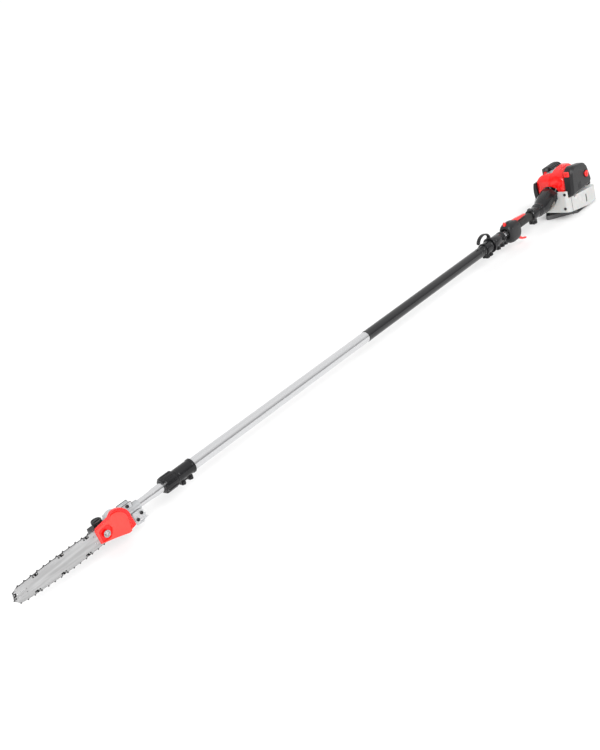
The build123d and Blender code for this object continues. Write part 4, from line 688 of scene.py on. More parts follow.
# ---------------------------------------------------------------- pole
def tubes():
    """The three tubes with open, rounded ends, the inner one swaged, and the sleeve with its end ring."""
    for node in ("outer_tube", "engine_tube"):
        low, high = span(node)
        radius, length = (high.z - low.z) / 2, high.x - low.x
        bm = fresh(turned, [(0.4, radius), (length - 0.4, radius), (length, radius - 0.4),
                (length, radius - 1.5), (0, radius - 1.5), (0, radius - 0.4)], (low.x, 0, AXIS),
                count=96, joined=True)
        piece(node + "_drawn", bm, tube_silver, node, edge=0)
    low, high = span("inner_tube")
    neck, swell = -2169.0 - low.x, -2142.0 - low.x
    bm = bmesh.new()
    ease = [(neck + (swell - neck) * k / 8, 11 + 2 * (0.5 - 0.5 * cos(pi * k / 8))) for k in range(9)]
    length = high.x - low.x
    turned(bm, [(0, 11.0)] + ease + [(length - 0.4, 13), (length, 12.6), (length, 11.5), (swell, 11.5),
            (neck, 9.5), (0, 9.5)], (low.x, 0, AXIS), count=96, joined=True)
    piece("inner_tube_swaged", bm, tube_silver, "inner_tube", body="saw_head", edge=0)

    low, high = span("grip_sleeve")
    radius, length = (high.z - low.z) / 2, high.x - low.x
    bm = bmesh.new()
    ends = [(0, POLE_BORE), (0, radius - 0.8), (1.0, radius - 0.1), (7, radius), (8, radius - 0.35),
            (9, radius - 0.35)]
    body = ends + [(length - p, r) for p, r in reversed(ends)]
    turned(bm, body, (low.x, 0, AXIS), count=96, joined=True)
    piece("pole_sleeve", bm, sleeve_black, "grip_sleeve", edge=0)
    bm = bmesh.new()
    reach = span("hook_clamp")[0].x - high.x
    turned(bm, [(0.2, 17.7), (0.2, radius - 0.6), (reach * 0.5, radius - 0.6),
            (reach * 0.5 + 1, radius + 0.6), (reach - 0.3, radius + 0.6), (reach - 0.3, 17.7)],
            (high.x, 0, AXIS), count=96, joined=True)
    piece("sleeve_end_ring", bm, body_black, edge=0.3)


def lock():
    """Twist lock: ribbed knob with a tapered nose, split collar with lugs."""
    low, high = span("lock_knob")
    radius, length = (high.z - low.z) / 2, high.x - low.x
    ribs = 10

    def ribbed(angle, place, reach):
        if reach < radius - 3.0 or place < 3.0 or place > length - 2.0:
            return min(reach, radius - 3.2)
        wave = cos(ribs * angle)
        return reach - 2.9 * (0.5 - 0.5 * max(-1.0, min(1.0, 2.6 * wave + 0.4)))

    bm = fresh(turned, [(0.0, 13.6), (0.0, 19.0), (1.6, 20.6), (3.4, radius - 2.2), (5.2, radius - 0.6),
            (8.0, radius), (length - 5.0, radius), (length - 2.4, radius - 0.8),
            (length - 1.9, radius - 3.0), (length, radius - 3.2), (length, 13.6)], (low.x, 0, AXIS),
            count=240, ripple=ribbed, joined=True)
    piece("twist_knob", bm, body_black, "lock_knob", body="lock_knob", edge=0.3)

    low, high = span("lock_collar")
    length = high.x - low.x
    bm = fresh(turned, [(0, POLE_BORE), (0, 18.6), (1.0, 19.8), (5, 19.8), (5.6, 19.2), (8.4, 19.2),
            (9, 19.8), (length - 8, 19.8), (length - 7, 21.2), (length - 1, 21.4), (length, 20.6),
            (length, POLE_BORE)], (low.x, 0, AXIS), count=96, joined=True)
    for spot in (low.x + 18, low.x + 45):
        prism(bm, box_outline((spot, AXIS - 22.5), 15, 19, 5), "XZ", -8, -1.0, 0.8)
        prism(bm, box_outline((spot, AXIS - 22.5), 15, 19, 5), "XZ", 1.0, 8, 0.8)
    prism(bm, box_outline(((low.x + high.x) / 2, AXIS - 20.5), 40, 8, 2), "XZ", -6.5, -1.0, 0.6)
    prism(bm, box_outline(((low.x + high.x) / 2, AXIS - 20.5), 40, 8, 2), "XZ", 1.0, 6.5, 0.6)
    piece("split_collar", bm, body_black, "lock_collar", edge=0.3)


def clamp_screws():
    """Socket screws of every clamp on the pole, with nuts on the far side."""
    collar, hook, joint, bell = (span(node)
            for node in ("lock_collar", "hook_clamp", "tube_coupler", "clutch_housing"))
    rows = [(collar[0].x + 18, -26.5, 8, 4.6), (collar[0].x + 45, -26.5, 8, 4.6),
            (hook[0].x + 9, -27, 11, 4.6), (hook[1].x - 9, -27, 11, 4.6),
            (joint[0].x + 34, -28, 8.5, 5), (joint[0].x + 60, -28, 8.5, 5),
            (joint[1].x - 7, -28, 8.5, 5), (bell[0].x + 14, -30, 11, 5.2)]
    bm = bmesh.new()
    for x, z, half, radius in rows:
        bolt_head(bm, (x, -half, AXIS + z), "Y", -1, radius, 4.2)
        turned(bm, [(-half, 2.4), (half + 1, 2.4)], (x, 0, AXIS + z), "Y", 20)
        prism(bm, ring((x, AXIS + z), radius, 6), "XZ", half, half + 3.6, 0.4)
    bolt_head(bm, (joint[1].x - 26, -20.4, AXIS), "Y", -1, 7.0, 4.0)
    piece("clamp_screws", bm, black_oxide, "clamp_bolts", edge=0.2)


def harness_hook():
    """Open strap-section hook on its ring plate, and the two-ear clamp below it."""
    low, high = span("harness_hook")
    plate_x = high.x - 8.0
    eye = Vector((plate_x - 28.0, 0, AXIS + 28.0))
    path = [eye + Vector((34 * cos(radians(a)), 0, 24 * sin(radians(a)))) for a in range(-20, 166, 5)]
    strap = [(a * 0.80, b * 1.30) for a, b in box_outline((0, 0), 7.0, 10.4, 2.6, 3)]
    bm = fresh(sweep, path, strap)
    ball(bm, path[-1], 6.3, (1, 1.1, 1))
    turned(bm, [(0, 18.8), (0, 27.0), (1.2, 28.0), (6.8, 28.0), (8, 27.0), (8, 18.8)],
            (plate_x, 0, AXIS), count=96, joined=True)
    neck = rounded([(-9, AXIS + 14), (9, AXIS + 14), (7, AXIS + 32), (-7, AXIS + 32)], 3)
    prism(bm, neck, "YZ", plate_x - 0.2, plate_x + 7.6, 0.8)
    hole = fresh(turned, [(-5, 17.8), (14, 17.8)], (plate_x, 0, AXIS), count=64)
    piece("carry_hook", bm, body_black, "harness_hook", edge=0.4, cutters=[hole])

    low, high = span("hook_clamp")
    length = high.x - low.x
    bm = fresh(turned, [(0, 18.8), (0, 21.6), (1.2, 22.8), (6, 23), (7, 21.4), (length - 7, 21.4),
            (length - 6, 23), (length - 1.2, 22.8), (length, 21.6), (length, 18.8)], (low.x, 0, AXIS),
            count=96, joined=True)
    for x in (low.x + 9, high.x - 9):
        for sign in (-1, 1):
            prism(bm, box_outline((x, AXIS - 25), 15, 17, 4), "XZ", sign * 11, sign * 1.2, 0.8)
            prism(bm, box_outline((x, AXIS - 27), 11, 10, 4), "XZ", sign * 11.6, sign * 10, 0.5)
    piece("hook_clamp_halves", bm, body_black, "hook_clamp", edge=0.4)


def coupler():
    """Split coupler between the pole and the engine side, with its lug rail."""
    low, high = span("tube_coupler")
    length = high.x - low.x
    bm = fresh(turned, [(0, 17.8), (0, 19.4), (1.4, 21), (10, 21), (11, 20.2), (14, 20.2), (15, 21),
            (50, 21), (52, 19.8), (length - 31, 19.8), (length - 29, 21), (length - 19, 21),
            (length - 17, 19.5), (length - 17, 13.2)], (low.x, 0, AXIS), count=96)
    for spot, wide in ((low.x + 34, 20), (low.x + 60, 18), (high.x - 8, 15)):
        for sign in (-1, 1):
            prism(bm, box_outline((spot, AXIS - 24), wide, 18, 5), "XZ", sign * 8.5, sign * 0.9, 0.9)
    for sign in (-1, 1):
        prism(bm, box_outline((high.x - 34, AXIS - 20), 64, 10, 3), "XZ", sign * 6.5, sign * 0.9, 0.8)
    turned(bm, [(0, 8.6), (-4.0, 8.6), (-5.0, 7.9)], (high.x - 26, -17.0, AXIS), "Y", 40)
    bores = fresh(turned, [(-1, POLE_BORE), (51, POLE_BORE), (51, STEM_BORE), (length + 1, STEM_BORE)],
            (low.x, 0, AXIS), count=64)
    piece("pole_coupler", bm, body_black, "tube_coupler", edge=0.4, cutters=[bores])


# ---------------------------------------------------------------- throttle handle
def handle():
    """Two moulded halves round the tube, stepped mouth rings, switch, lever, trigger and grip."""
    x0, x1 = span("handle_left")[0].x, span("handle_right")[1].x
    # place along the handle, half width, top, bottom, squareness
    shape = [(7.0, 21.5, 26.0, -30.0, 2.5), (9.0, 23.6, 28.6, -33.0, 2.6),
            (14.0, 25.0, 31.2, -37.0, 2.8), (22.0, 25.9, 33.6, -40.6, 2.9),
            (34.0, 25.9, 35.0, -42.8, 3.0), (50.0, 25.6, 34.6, -43.0, 3.0),
            (64.0, 24.6, 32.2, -43.0, 3.0), (75.0, 23.0, 28.6, -41.0, 2.8),
            (82.0, 21.4, 26.0, -34.0, 2.6), (85.0, 19.6, 24.2, -28.0, 2.5)]
    for side, sign in (("left", -1), ("right", 1)):
        bm = bmesh.new()
        sections = []
        for place, wide, top, bottom, square in shape:
            middle_z, tall = (top + bottom) / 2, (top - bottom) / 2
            points = []
            for k in range(33):
                angle = pi / 2 - pi * k / 32
                c, s = cos(angle), sin(angle)
                points.append((sign * max(0.12, wide * abs(c) ** (2 / square)),
                        AXIS + middle_z + tall * (1 if s > 0 else -1) * abs(s) ** (2 / square)))
            sections.append(lift(points, "YZ", x0 + place * (x1 - x0) / 85.0))
        skin(bm, sections)
        bore = fresh(turned, [(-2, 20.6), (10, 19.8), (22, 18.6), (30, 16.8), (30, STEM_BORE),
                (x1 - x0 + 2, STEM_BORE)], (x0, 0, AXIS), count=64)
        slots = fresh(prism, box_outline((x1 - 12, AXIS - 38), 38, 24, 3), "XZ", -6.2, 6.2)
        slot_top = fresh(prism, box_outline((x1 - 1, AXIS + 29), 48, 15, 3), "XZ", -6.2, 6.2)
        well = fresh(prism, box_outline((x0 + 16, AXIS + 36), 17, 14, 3), "XZ", -6.4, 6.4)
        piece("handle_shell_" + side, bm, grained_black, "handle_" + side, angle=40,
                cutters=[bore, slots, slot_top, well])
    bm = bmesh.new()
    for place, radius in ((11.5, 19.6), (16.0, 18.2), (20.5, 16.8)):
        turned(bm, [(place, radius - 1.3), (place, radius), (place + 1.5, radius),
                (place + 1.5, radius - 1.3)], (x0 + 1.0, 0, AXIS), count=72, joined=True)
    piece("handle_mouth_rings", bm, rubber, edge=0.3)
    bm = bmesh.new()
    for z in (24, -34):
        for x in (x0 + 24, x1 - 16):
            bolt_head(bm, (x, -24.2, AXIS + z * 0.62), "Y", -1, 3.0, 0.9)
    piece("handle_screws", bm, black_oxide, edge=0)

    low, high = span("stop_switch")
    bm = bmesh.new()
    x, top = (low.x + high.x) / 2, high.z
    profile = rounded([(x - 5, low.z), (x + 5, low.z), (x + 5, top - 5), (x + 1.6, top), (x - 2.6, top),
            (x - 5, top - 4)], 1.6, 4)
    prism(bm, profile, "XZ", -4.5, 4.5, 0.8)
    piece("stop_slider", bm, trim_red, "stop_switch", body="stop_switch", edge=0.3)
    bm = fresh(turned, [(0, 5.2), (3.4, 5.2), (4.2, 4.6), (4.2, 3.6), (6.2, 3.4), (6.8, 2.6)],
            (x0 + 32, -3, AXIS + 31), "Z", 36)
    piece("start_button", bm, body_black, edge=0.2)

    low, high = span("throttle_trigger")
    w, h = high.x - low.x, high.z - low.z
    bm = bmesh.new()
    blade = (arc((low.x + 0.2 * w, high.z), (low.x + 0.42 * w, low.z + 0.52 * h),
            (high.x - 0.3, low.z + 0.12 * h), 14) + [(high.x, low.z + 0.03 * h), (high.x - 1.4, low.z)]
            + arc((high.x - 5, low.z), (low.x + 0.24 * w, low.z + 0.42 * h), (low.x, high.z - 0.2 * h),
            14) + [(low.x, high.z)])
    prism(bm, blade, "XZ", low.y, high.y, 1.2)
    piece("trigger_blade", bm, trim_red, "throttle_trigger", body="throttle_trigger")

    low, high = span("throttle_lock")
    w, h = high.x - low.x, high.z - low.z
    bm = bmesh.new()
    lever = ([(low.x, low.z), (low.x + 0.26 * w, low.z), (high.x - 1, low.z + 0.16 * h),
            (high.x, low.z + 0.32 * h)] + arc((high.x - 1.2, low.z + 0.46 * h),
            (low.x + 0.5 * w, low.z + 0.80 * h), (low.x + 0.2 * w, high.z), 12)
            + [(low.x + 0.06 * w, high.z)])
    prism(bm, lever, "XZ", low.y, high.y, 1.2)
    piece("lock_off_lever", bm, trim_red, "throttle_lock", body="throttle_lock")

    low, high = span("rear_grip")
    length, radius = high.x - low.x, (high.z - low.z) / 2
    bm = bmesh.new()
    profile = [(0, STEM_BORE), (0, radius - 0.6), (0.8, radius)]
    ribs = int((length - 8) / 5)
    for k in range(ribs):
        start = 4 + k * 5
        profile += [(start, radius), (start + 0.5, radius - 0.5), (start + 1.1, radius - 0.5),
                (start + 1.6, radius)]
    profile += [(length - 0.8, radius), (length, radius - 0.6), (length, STEM_BORE)]
    turned(bm, profile, (low.x, 0, AXIS), count=72, joined=True)
    piece("rear_grip_rubber", bm, rubber, "rear_grip", edge=0)


# ---------------------------------------------------------------- engine
def copied(node):
    """A mesh in millimetres with the shape of a CAD node, to be cut and rounded further."""
    bm = bmesh.new()
    bm.from_mesh(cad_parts[node].data)
    bmesh.ops.scale(bm, vec=(1 / MM, 1 / MM, 1 / MM), verts=bm.verts)
    bmesh.ops.remove_doubles(bm, verts=bm.verts, dist=0.002)
    bmesh.ops.dissolve_limit(bm, angle_limit=radians(0.5), verts=bm.verts, edges=bm.edges)
    return bm


def clutch_bell():
    """Clamp neck with its flange and lugs, flaring in ribbed facets up to the fan housing."""
    low, high = span("clutch_housing")
    length = high.x - low.x
    bm = bmesh.new()

    def faceted(angle, place, reach):
        if place < 70:
            return reach
        share = min(1.0, (place - 70) / 50)
        facet = cos(pi / 8) / cos((angle + pi / 8) % (pi / 4) - pi / 8)
        return reach * (1 + share * 0.6 * (facet * 0.985 - 1))

    turned(bm, [(0, 19.5), (1.4, 21.4), (4, 22), (24, 22), (26, 20.6), (44, 20.6), (46, 22.6),
            (52, 23.4), (54, 25.4), (60, 26.4), (66, 25.6), (70, 26.2), (84, 30.2), (100, 34.0),
            (122, 36.8), (140, 38.4), (length - 3, 39), (length, 38.2)], (low.x, 0, AXIS), count=96,
            ripple=faceted)
    for k in range(8):
        angle = radians(22.5 + 45 * k)
        rib = [(74, 26.4), (96, 33.4), (126, 38.6), (150, 39.4), (150, 36), (120, 33.5), (90, 27),
                (74, 23)]
        y, z = cos(angle), sin(angle)
        side = Vector((0, -z, y))
        skin(bm, [[Vector((low.x + a, y * r, AXIS + z * r)) + side * off for a, r in rib]
                for off in (-1.1, 1.1)])
    for sign in (-1, 1):
        prism(bm, box_outline((low.x + 14, AXIS - 27), 24, 19, 5), "XZ", sign * 11, sign * 1.0, 1.0)
        prism(bm, box_outline((low.x + 14, AXIS + 17), 15, 12, 3), "XZ", sign * 13, sign * 5, 1.2)
    flare_from, flare_run = 66, 74
    for vert in bm.verts:
        share = max(0.0, min(1.0, (vert.co.x - low.x - flare_from) / flare_run))
        vert.co += FLARE_SHIFT * share
    hollow = fresh(turned, [(-1, STEM_BORE), (45, STEM_BORE), (45, 12), (78, 12), (84, 20), (106, 30.5),
            (136, 33), (length + 1, 33)], (low.x, 0, AXIS), count=64)
    slit = fresh(prism, box_outline((low.x + 10, AXIS - 27), 34, 26, 1), "XZ", -0.8, 0.8)
    piece("clutch_bell", bm, body_black, "clutch_housing", edge=0.4, angle=24, cutters=[hollow, slit])


def hood_edge():
    """Front view of the red hood: points of its outline, each with its point on the inner edge."""
    side, top = 62.0, 110.0
    outer = ([(-side + 3, 12), (-side, 34), (-side + 1.5, 56), (-side + 2.2, 66)] + arc((-side + 3, 76),
            (-side + 12, top - 9), (-side + 28, top), 11) + [(-24, top), (-16, top), (-9, top),
            (-6, top), (-4, top), (-2, top), (1, top), (8, top), (16, top - 1)] + arc((22, top - 2.5),
            (side - 13, top - 19), (side - 3, 72), 11) + [(side - 1, 56), (side, 38), (side - 3, 24),
            (side - 8, 9)])
    inner = []
    for k, (y, z) in enumerate(outer):
        angle = radians(150 - 118 * k / (len(outer) - 1))
        inner.append((4 + 40.0 * cos(angle), 12 + 40.0 * sin(angle)))
    inner[0], inner[1] = (-38, 12), (-40, 22)
    inner[-1], inner[-2], inner[-3] = (side - 9.5, 8), (side - 15, 22), (side - 18, 32)
    return outer, inner


def hood():
    """Red engine hood: raked front with a centre crease, sloping brow and roof louvres."""
    low, high = span("engine_shroud")
    front, rear = low.x, high.x
    outer, inner = hood_edge()
    wall = 3.0
    sections = []
    for (y, z), (iy, iz) in zip(outer, inner):
        core = Vector((iy, iz))
        rise = max(0.0, min(1.0, (z - 72) / 38))
        out = Vector((y, z))
        brow = Vector((y, z - 11 * rise))
        roof = Vector((y, z - 4.5 * rise))
        inward = (core - brow).normalized()
        back = 7.0 * (abs(y + 4) / 62.0) ** 2 + 2.4 * (1 - exp(-((y + 4) / 5.0) ** 2))
        rake = 13.0 * rise
        ring_points = [(front + 5.0 + back * 0.5, core),
                (front + 1.0 + back * 0.6, core - inward * 1.5),
                (front + back * 0.8, core.lerp(brow, 0.5)),
                (front + 0.6 + back + rake * 0.45, brow + inward * 9.0),
                (front + 2.2 + back + rake * 0.8, brow + inward * 4.0),
                (front + 5.0 + back + rake, brow + inward * 1.0),
                (front + 9 + back + rake * 1.2, brow.lerp(roof, 0.2)),
                (front + 16 + back + rake * 1.6, roof), (front + 30 + back + rake * 2.4, out),
                (rear, out), (rear, out + inward * wall),
                (front + 31 + back + rake * 2.4, out + inward * wall),
                (front + 16 + back + rake * 1.6, roof + inward * wall),
                (front + 9 + back + rake, brow + inward * 9),
                (front + 6.2 + back * 0.8, core.lerp(brow, 0.5))]
        sections.append([Vector((x, p.x, AXIS + p.y)) for x, p in ring_points])
    bm = fresh(skin, sections)
    cutters = [fresh(prism, box_outline((front + 62, -38 + 9.0 * k), 40, 4.0, 1.9, 4), "XY", AXIS + 98,
            AXIS + 116) for k in range(6)]
    cutters.append(fresh(prism, box_outline((18, AXIS + 55), 100, 80, 8), "XZ", -80, -48))
    guard = span("muffler_guard")
    cutters.append(fresh(prism, box_outline((32, AXIS + 60), 124, 130, 6), "XZ", guard[0].y - 1.5, 80))
    cutters.append(fresh(prism, box_outline((22, AXIS + 92), 158, 64, 6), "XZ", -8, 80))
    piece("engine_hood", bm, gloss_red, "engine_shroud", angle=30, cutters=cutters)


def fan():
    """Black fan housing behind the hood, with a row of bosses round its lower half."""
    low, high = span("fan_housing")
    radius = (high.z - low.z) / 2
    bm = bmesh.new()
    width = high.x - low.x
    turned(bm, [(10, 36.2), (10, radius - 5), (11.6, radius - 1.6), (15, radius), (width - 6, radius),
            (width - 5, radius - 1.2), (width - 4, radius), (width, radius), (width, radius - 4),
            (15, radius - 5), (14, 36.2)], (low.x, 0, AXIS), count=128, joined=True)
    for k in range(6):
        angle = radians(200 + 28 * k)
        turned(bm, [(-0.6, 4.2), (3.0, 5.0), (9, 5.0)],
                (low.x + 13, (radius - 7) * cos(angle), AXIS + (radius - 7) * sin(angle)), "X", 20)
    piece("fan_scroll", bm, body_black, "fan_housing", edge=0.4)


def exhaust_guard():
    """Rounded muffler guard with louvres, and the plain round button on its grey front plate, which is a
    painted highlight standing in for the light on that face.
    """
    low, high = span("muffler_guard")
    high.z -= 5.0
    outline = box_outline(((low.x + high.x) / 2, (low.z + high.z) / 2), high.x - low.x, high.z - low.z,
            13, 6)
    bm = fresh(skin, [lift(inset(outline, cut), "XZ", y) for y, cut in ((low.y, 3.0), (low.y, 0),
            (high.y - 24, 0), (high.y - 13, 4), (high.y - 4, 8.5), (high.y, 12.5), (high.y - 3, 12.5),
            (high.y - 7, 9.5), (high.y - 15, 5.5), (high.y - 24, 3.0))], joined=True)
    plate = inset(outline, 12.0)
    prism(bm, plate, "XZ", high.y - 2.6, high.y - 0.2)
    cutters = [fresh(prism, box_outline(((low.x + high.x) / 2, low.z + 16 + 9.5 * k), 46, 4.4, 2.0, 4),
            "XZ", high.y - 8, high.y + 2) for k in range(5)]
    for k in range(4):
        cutters.append(fresh(prism,
                box_outline(((low.x + high.x) / 2 - 18 + 12 * k, (low.y + high.y) / 2 - 2), 5, 24, 2,
                4), "XY", high.z - 8, high.z + 4))
    piece("muffler_shield", bm, grained_black, "muffler_guard", cutters=cutters)
    # Painted highlight: a grey plate laid on the guard's black front face in place of the light that falls
    # there.
    bm = bmesh.new()
    face = [(low.y + 2, 52), (high.y - 4, 52), (high.y - 10, 80), (low.y + 12, 101), (low.y + 2, 102)]
    prism(bm, [(y, AXIS + z) for y, z in face], "YZ", low.x - 0.6, low.x + 3.0, 0.8)
    piece("guard_front_painted_highlight", bm, stand_grey, edge=0.4)
    button = (low.x + 0.2, low.y + 13.5, low.z + 42)
    bm = fresh(turned, [(0, 11.5), (-1.2, 11.5), (-1.8, 10.4), (-1.2, 9.0)], button, "X", 40)
    piece("guard_button_rim", bm, body_black, edge=0.2)
    bm = fresh(turned, [(0, 8.8), (-1.6, 8.8), (-2.6, 6.6), (-3.0, 3.0)], button, "X", 40)
    piece("guard_button", bm, gloss_red, edge=0.2)


def side_panels():
    """Black cowl on the far side of the hood and the sloping deck between the hood and the guard."""
    low, high = span("muffler_guard")
    bm = bmesh.new()
    cowl = ([(60, 68), (68, 67)] + arc((70.5, 58), (73.0, 24), (66, -10), 10)
            + [(62, -22), (56, -26), (48, -20), (55, 30)])
    prism(bm, [(y, AXIS + z) for y, z in cowl], "YZ", -77, -30, 1.4)
    piece("side_cowl", bm, body_black)
    bm = bmesh.new()
    deck = [(-8, 62), (-8, 82), (10, 88), (29, 103), (low.y + 3, 105), (low.y + 3, 62)]
    prism(bm, [(y, AXIS + z) for y, z in deck], "YZ", low.x + 6, high.x - 4, 1.4)
    cutters = [fresh(prism, box_outline((low.x + 16 + 12 * k, 20), 4, 26, 1.6, 4), "XY", AXIS + 92,
            AXIS + 116) for k in range(5)]
    piece("muffler_deck", bm, grained_black, cutters=cutters)


def filter_box():
    """Black air-filter cover with its broad chamfers, the wing knob and the choke block."""
    low, high = span("filter_cover")
    z = AXIS
    outline = ([(-75, z + 20), (-71.5, z + 54)] + arc((-68, z + 88), (-58, z + 108), (-36, z + 117), 7)
            + [(-2, z + 111.2)] + arc((34, z + 105), (49, z + 98), (58, z + 84), 6) + [(65, z + 61)]
            + arc((72, z + 38), (68, z + 21), (52, z + 14), 6) + [(0, z + 12.4)]
            + arc((-60, z + 10.6), (-71, z + 13), (-75, z + 20), 5)[:-1])
    bm = fresh(skin, [lift(inset(outline, cut), "XZ", y) for y, cut in ((high.y, 0.0),
            (low.y + 11, 0.0), (low.y + 8.5, 0.7), (low.y + 2.0, 6.5), (low.y, 9.0), (low.y + 3, 9.0),
            (low.y + 12, 3.0), (high.y, 3.0))], joined=True)
    prism(bm, inset(outline, 8.6), "XZ", low.y + 2.8, low.y + 0.02)
    knob = middle("filter_knob")
    recess = fresh(turned, [(-3, 15.5), (1.6, 14.2), (4.5, 13.6)], (knob.x, low.y, knob.z), "Y", 48)
    grooves = [recess]
    for k in range(3):
        grooves.append(fresh(prism, box_outline((-30 + 8.0 * k, z + 34), 2.2, 30, 1.0, 3), "XZ",
                low.y - 2, low.y + 1.2))
    piece("filter_case", bm, grained_black, "filter_cover", angle=24, cutters=grooves)

    low, high = span("filter_knob")
    bm = fresh(turned, [(0, 12.4), (-2.0, 12.4), (-3.6, 10.6), (-4.6, 8.0)],
            (knob.x, low.y + 7.4, knob.z), "Y", 48)
    turned(bm, [(0, 4.0), (high.y - low.y - 6, 4.0)], (knob.x, low.y + 5, knob.z), "Y", 24)
    wings = box_outline((knob.x, knob.z), 8.0, 23.0, 3.6, 5)
    turn = Matrix.Rotation(radians(-28), 2)
    wings = [tuple(turn @ (Vector(p) - Vector((knob.x, knob.z))) + Vector((knob.x, knob.z)))
            for p in wings]
    prism(bm, wings, "XZ", low.y + 5, low.y, 1.6)
    piece("wing_knob", bm, trim_red, "filter_knob", body="filter_knob")

    low, high = span("choke_lever")
    bm = fresh(prism, box_outline(((low.y + high.y) / 2, (low.z + high.z) / 2), high.y - low.y,
            high.z - low.z, 3.4), "YZ", high.x, low.x, 1.0)
    slot = fresh(prism, box_outline(((low.y + high.y) / 2, (low.z + high.z) / 2 - 1), 11, 8, 2.5), "YZ",
            low.x - 1, low.x + 3.4)
    piece("choke_block", bm, trim_red, "choke_lever", body="choke_lever", edge=0.4, cutters=[slot])

    low, high = span("primer_bulb")
    centre = middle("primer_bulb")
    bm = fresh(turned,
            [(0, 6.6), (-3, 6.6), (-3.2, 5.8), (-6, 5.6), (-8.4, 4.2), (-9.6, 2.2), (-10, 0.5)],
            (centre.x, high.y, centre.z), "Y", 40)
    piece("primer_dome", bm, primer_clear, "primer_bulb", body="primer_bulb", edge=0)


def tank():
    """White fuel tank with its seam, sight slot, screws and the apron under the bell, and its cap."""
    low, high = span("fuel_tank")
    slot_at, seam_at = (47.0, AXIS - 40), (low.x + 26, AXIS - 32)
    bm = copied("fuel_tank")
    cutters = []
    for outline, plane, first, last in (
            (box_outline(slot_at, 8.0, 32, 3.6, 4), "XZ", low.y - 2, low.y + 3.0),
            (box_outline(seam_at, 2.8, 70, 0.9, 2), "XZ", low.y - 2, low.y + 0.9)):
        cutters.append(fresh(prism, outline, plane, first, last))
    piece("fuel_tank_blown", bm, tank_white, "fuel_tank", edge=3.2, angle=30, cutters=cutters)
    bm = bmesh.new()
    apron = [(-62, 24), (-20, 24), (-20, -8), (22, -22), (52, -20), (56, -30), (50, -46), (-58, -46)]
    prism(bm, [(y, AXIS + z) for y, z in apron], "YZ", low.x + 1.0, low.x + 7.0, 0.8)
    opening = fresh(turned, [(-5, 33.0), (12, 33.0)], (low.x, FLARE_SHIFT.y, AXIS + FLARE_SHIFT.z), "X",
            64)
    piece("tank_apron", bm, tank_white, edge=0.6, cutters=[opening])
    bm = fresh(prism, box_outline(slot_at, 7.8, 31.8, 3.5, 4), "XZ", low.y + 1.0, low.y + 3.4)
    prism(bm, box_outline(seam_at, 2.7, 69, 0.9, 2), "XZ", low.y + 0.5, low.y + 1.2)
    piece("tank_slot_insert", bm, body_black, edge=0)
    bm = bmesh.new()
    for y, z in ((-64, 22), (-58, -34)):
        bolt_head(bm, (low.x, y, AXIS + z), "X", -1, 5.6, 2.4)
    piece("tank_screws", bm, black_oxide, edge=0.2)

    low, high = span("fuel_cap")
    centre = middle("fuel_cap")
    radius, rise = (high.x - low.x) / 2, high.z - low.z
    bm = fresh(turned, [(0, radius - 1.2), (1, radius), (rise - 1.5, radius),
            (rise - 0.4, radius - 1.4), (rise - 0.4, radius - 4.5), (rise - 1.8, radius - 5.2),
            (rise - 1.8, 0.6)], (centre.x, centre.y, low.z), "Z", 144, knurled(24, 1.0, radius * 0.93))
    prism(bm, box_outline((centre.x, centre.y), radius * 1.35, 5.0, 2.0, 4), "XY", high.z - 3, high.z,
            0.6)
    piece("fuel_cap_knurled", bm, body_black, "fuel_cap", body="fuel_cap", edge=0.25)


def stand_and_starter():
    """Foot plate under the tank and the recoil starter with its vents and T-handle."""
    bm = copied("engine_stand")
    piece("foot_plate", bm, stand_grey, "engine_stand", edge=1.2)
    high = span("starter_housing")[1]
    bm = copied("starter_housing")
    cutters = []
    for k in range(12):
        angle = radians(30 * k)
        outline = [(cos(angle) * r - sin(angle) * w, AXIS + sin(angle) * r + cos(angle) * w)
                for r, w in ((20, -2.0), (38, -3.4), (38, 3.4), (20, 2.0))]
        cutters.append(fresh(prism, outline, "YZ", high.x - 3, high.x + 2))
    piece("starter_cowl", bm, grained_black, "starter_housing", edge=0.8, cutters=cutters)
    low, high = span("starter_handle")
    centre = middle("starter_handle")
    bm = bmesh.new()
    rings = []
    for k in range(13):
        share = k / 12
        y = low.y + (high.y - low.y) * share
        swell = sin(pi * share) ** 0.4 if 0 < k < 12 else 0.25
        wave = 1 - 0.06 * (k % 2)
        rings.append([Vector((centre.x + 8.8 * swell * wave * cos(2 * pi * j / 32), y,
                centre.z + 6.8 * swell * wave * sin(2 * pi * j / 32))) for j in range(32)])
    skin(bm, rings)
    piece("pull_handle", bm, rubber, "starter_handle", body="starter_handle",
            edge=0.3)


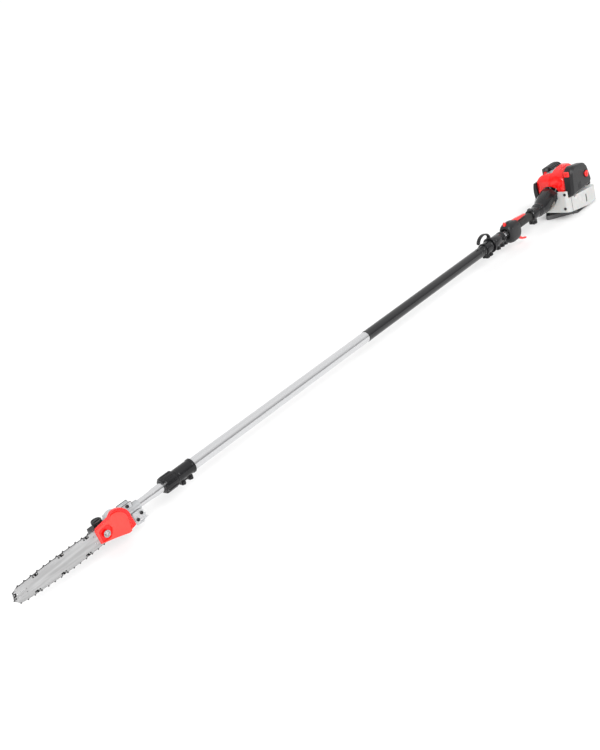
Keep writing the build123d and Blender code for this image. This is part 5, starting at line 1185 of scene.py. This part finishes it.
# ---------------------------------------------------------------- camera, floor and light
def studio():
    """Plain pale floor, a sky that is bright on the far side and dark behind the camera, soft light."""
    bm = bmesh.new()
    reach = 60000.0  # far enough that its edge is the horizon
    bm.faces.new([bm.verts.new((x * reach, y * reach, 0))
            for x, y in ((-1, -1), (1, -1), (1, 1), (-1, 1))])
    floor = mesh_object("floor", bm)
    floor.location.z = cad_bounds[0][2] - 0.0005
    paint = surface("pale_floor", (0.80, 0.80, 0.80), 0.9, (0.79, 0.79, 0.79), 2.0, 300, 0.0)
    shader = paint.node_tree.nodes["Principled BSDF"]
    shader.inputs["Emission Color"].default_value = (1, 1, 1, 1)
    shader.inputs["Emission Strength"].default_value = 0.10
    shader.inputs["Specular IOR Level"].default_value = 0.0
    floor.data.materials.append(paint)

    aim = Vector((-1.550, 0.0, AXIS * MM + 0.028))
    azimuth, elevation, roll, distance = radians(-40.5), radians(23.7), radians(-17.05), 2.949
    turn = (Matrix.Rotation(azimuth, 4, "Z") @ Matrix.Rotation(pi / 2 - elevation, 4,
            "X") @ Matrix.Rotation(roll, 4, "Z"))
    lens = bpy.data.cameras.new("camera")
    lens.lens = 48.0
    lens.clip_end = 200.0
    camera = bpy.data.objects.new("camera", lens)
    camera.matrix_world = Matrix.Translation(aim + turn.to_3x3() @ Vector((0, 0, distance))) @ turn
    bpy.context.scene.collection.objects.link(camera)
    bpy.context.scene.camera = camera

    world = bpy.data.worlds.new("studio")
    bpy.context.scene.world = world
    world.use_nodes = True
    nodes, links = world.node_tree.nodes, world.node_tree.links
    place = nodes.new("ShaderNodeTexCoord")
    facing = nodes.new("ShaderNodeVectorMath")
    facing.operation = "DOT_PRODUCT"
    facing.inputs[1].default_value = Vector((0.42, 0.50, 0.76)).normalized()
    ramp = nodes.new("ShaderNodeMapRange")
    ramp.interpolation_type = "SMOOTHSTEP"
    for socket, number in zip(RANGE_SOCKETS, (-0.30, 0.60, 0.24, 1.02)):
        ramp.inputs[socket].default_value = number
    links.new(place.outputs["Generated"], facing.inputs[0])
    links.new(facing.outputs["Value"], ramp.inputs["Value"])
    links.new(ramp.outputs["Result"], nodes["Background"].inputs["Color"])
    nodes["Background"].inputs["Strength"].default_value = 1.0

    for name, energy, spread, towards in (("key", 2.2, 40, (-0.30, -0.86, 0.62)),
                                          ("edge_light", 1.2, 20, (-0.86, -0.42, 0.30))):
        light = bpy.data.lights.new(name, "SUN")
        light.energy = energy
        light.angle = radians(spread)
        lamp = bpy.data.objects.new(name, light)
        lamp.matrix_world = Vector(towards).to_track_quat("Z", "Y").to_matrix().to_4x4()
        bpy.context.scene.collection.objects.link(lamp)
    bpy.context.scene.view_settings.view_transform = "Standard"


guide_bar()
chain()
sprocket_cover()
head_fittings()
gear_head()
for finish, kept_nodes in (
        (cast_metal, {"gear_housing": 1.2, "housing_cover": 0.6, "hook_plate": 0.4, "crankcase": 0.6,
                      "cylinder": 0.3, "carburettor": 0.5, "connecting_rod": 0.3, "piston": 0.2,
                      "flywheel": 0.3}),
        (bright_steel, {"nose_sprocket": 0, "drive_sprocket": 0.2, "gear_shaft": 0, "bevel_pinion": 0,
                        "head_bearings": 0.2, "inner_drive_shaft": 0, "outer_drive_shaft": 0,
                        "spark_plug": 0.3, "crankshaft": 0.3}),
        (body_black, {"oil_tank": 0.8, "starter_pulley": 0.3}), (bronze, {"shaft_bushes": 0.3}),
        (heat_steel, {"muffler": 1.0, "clutch_drum": 0.3, "clutch_shoes": 0.3}),
        (filter_foam, {"air_filter": 0})):
    for name, rounding in kept_nodes.items():
        dress(name, finish, rounding)
tubes()
lock()
clamp_screws()
harness_hook()
coupler()
handle()
clutch_bell()
hood()
fan()
side_panels()
exhaust_guard()
filter_box()
tank()
stand_and_starter()
studio()
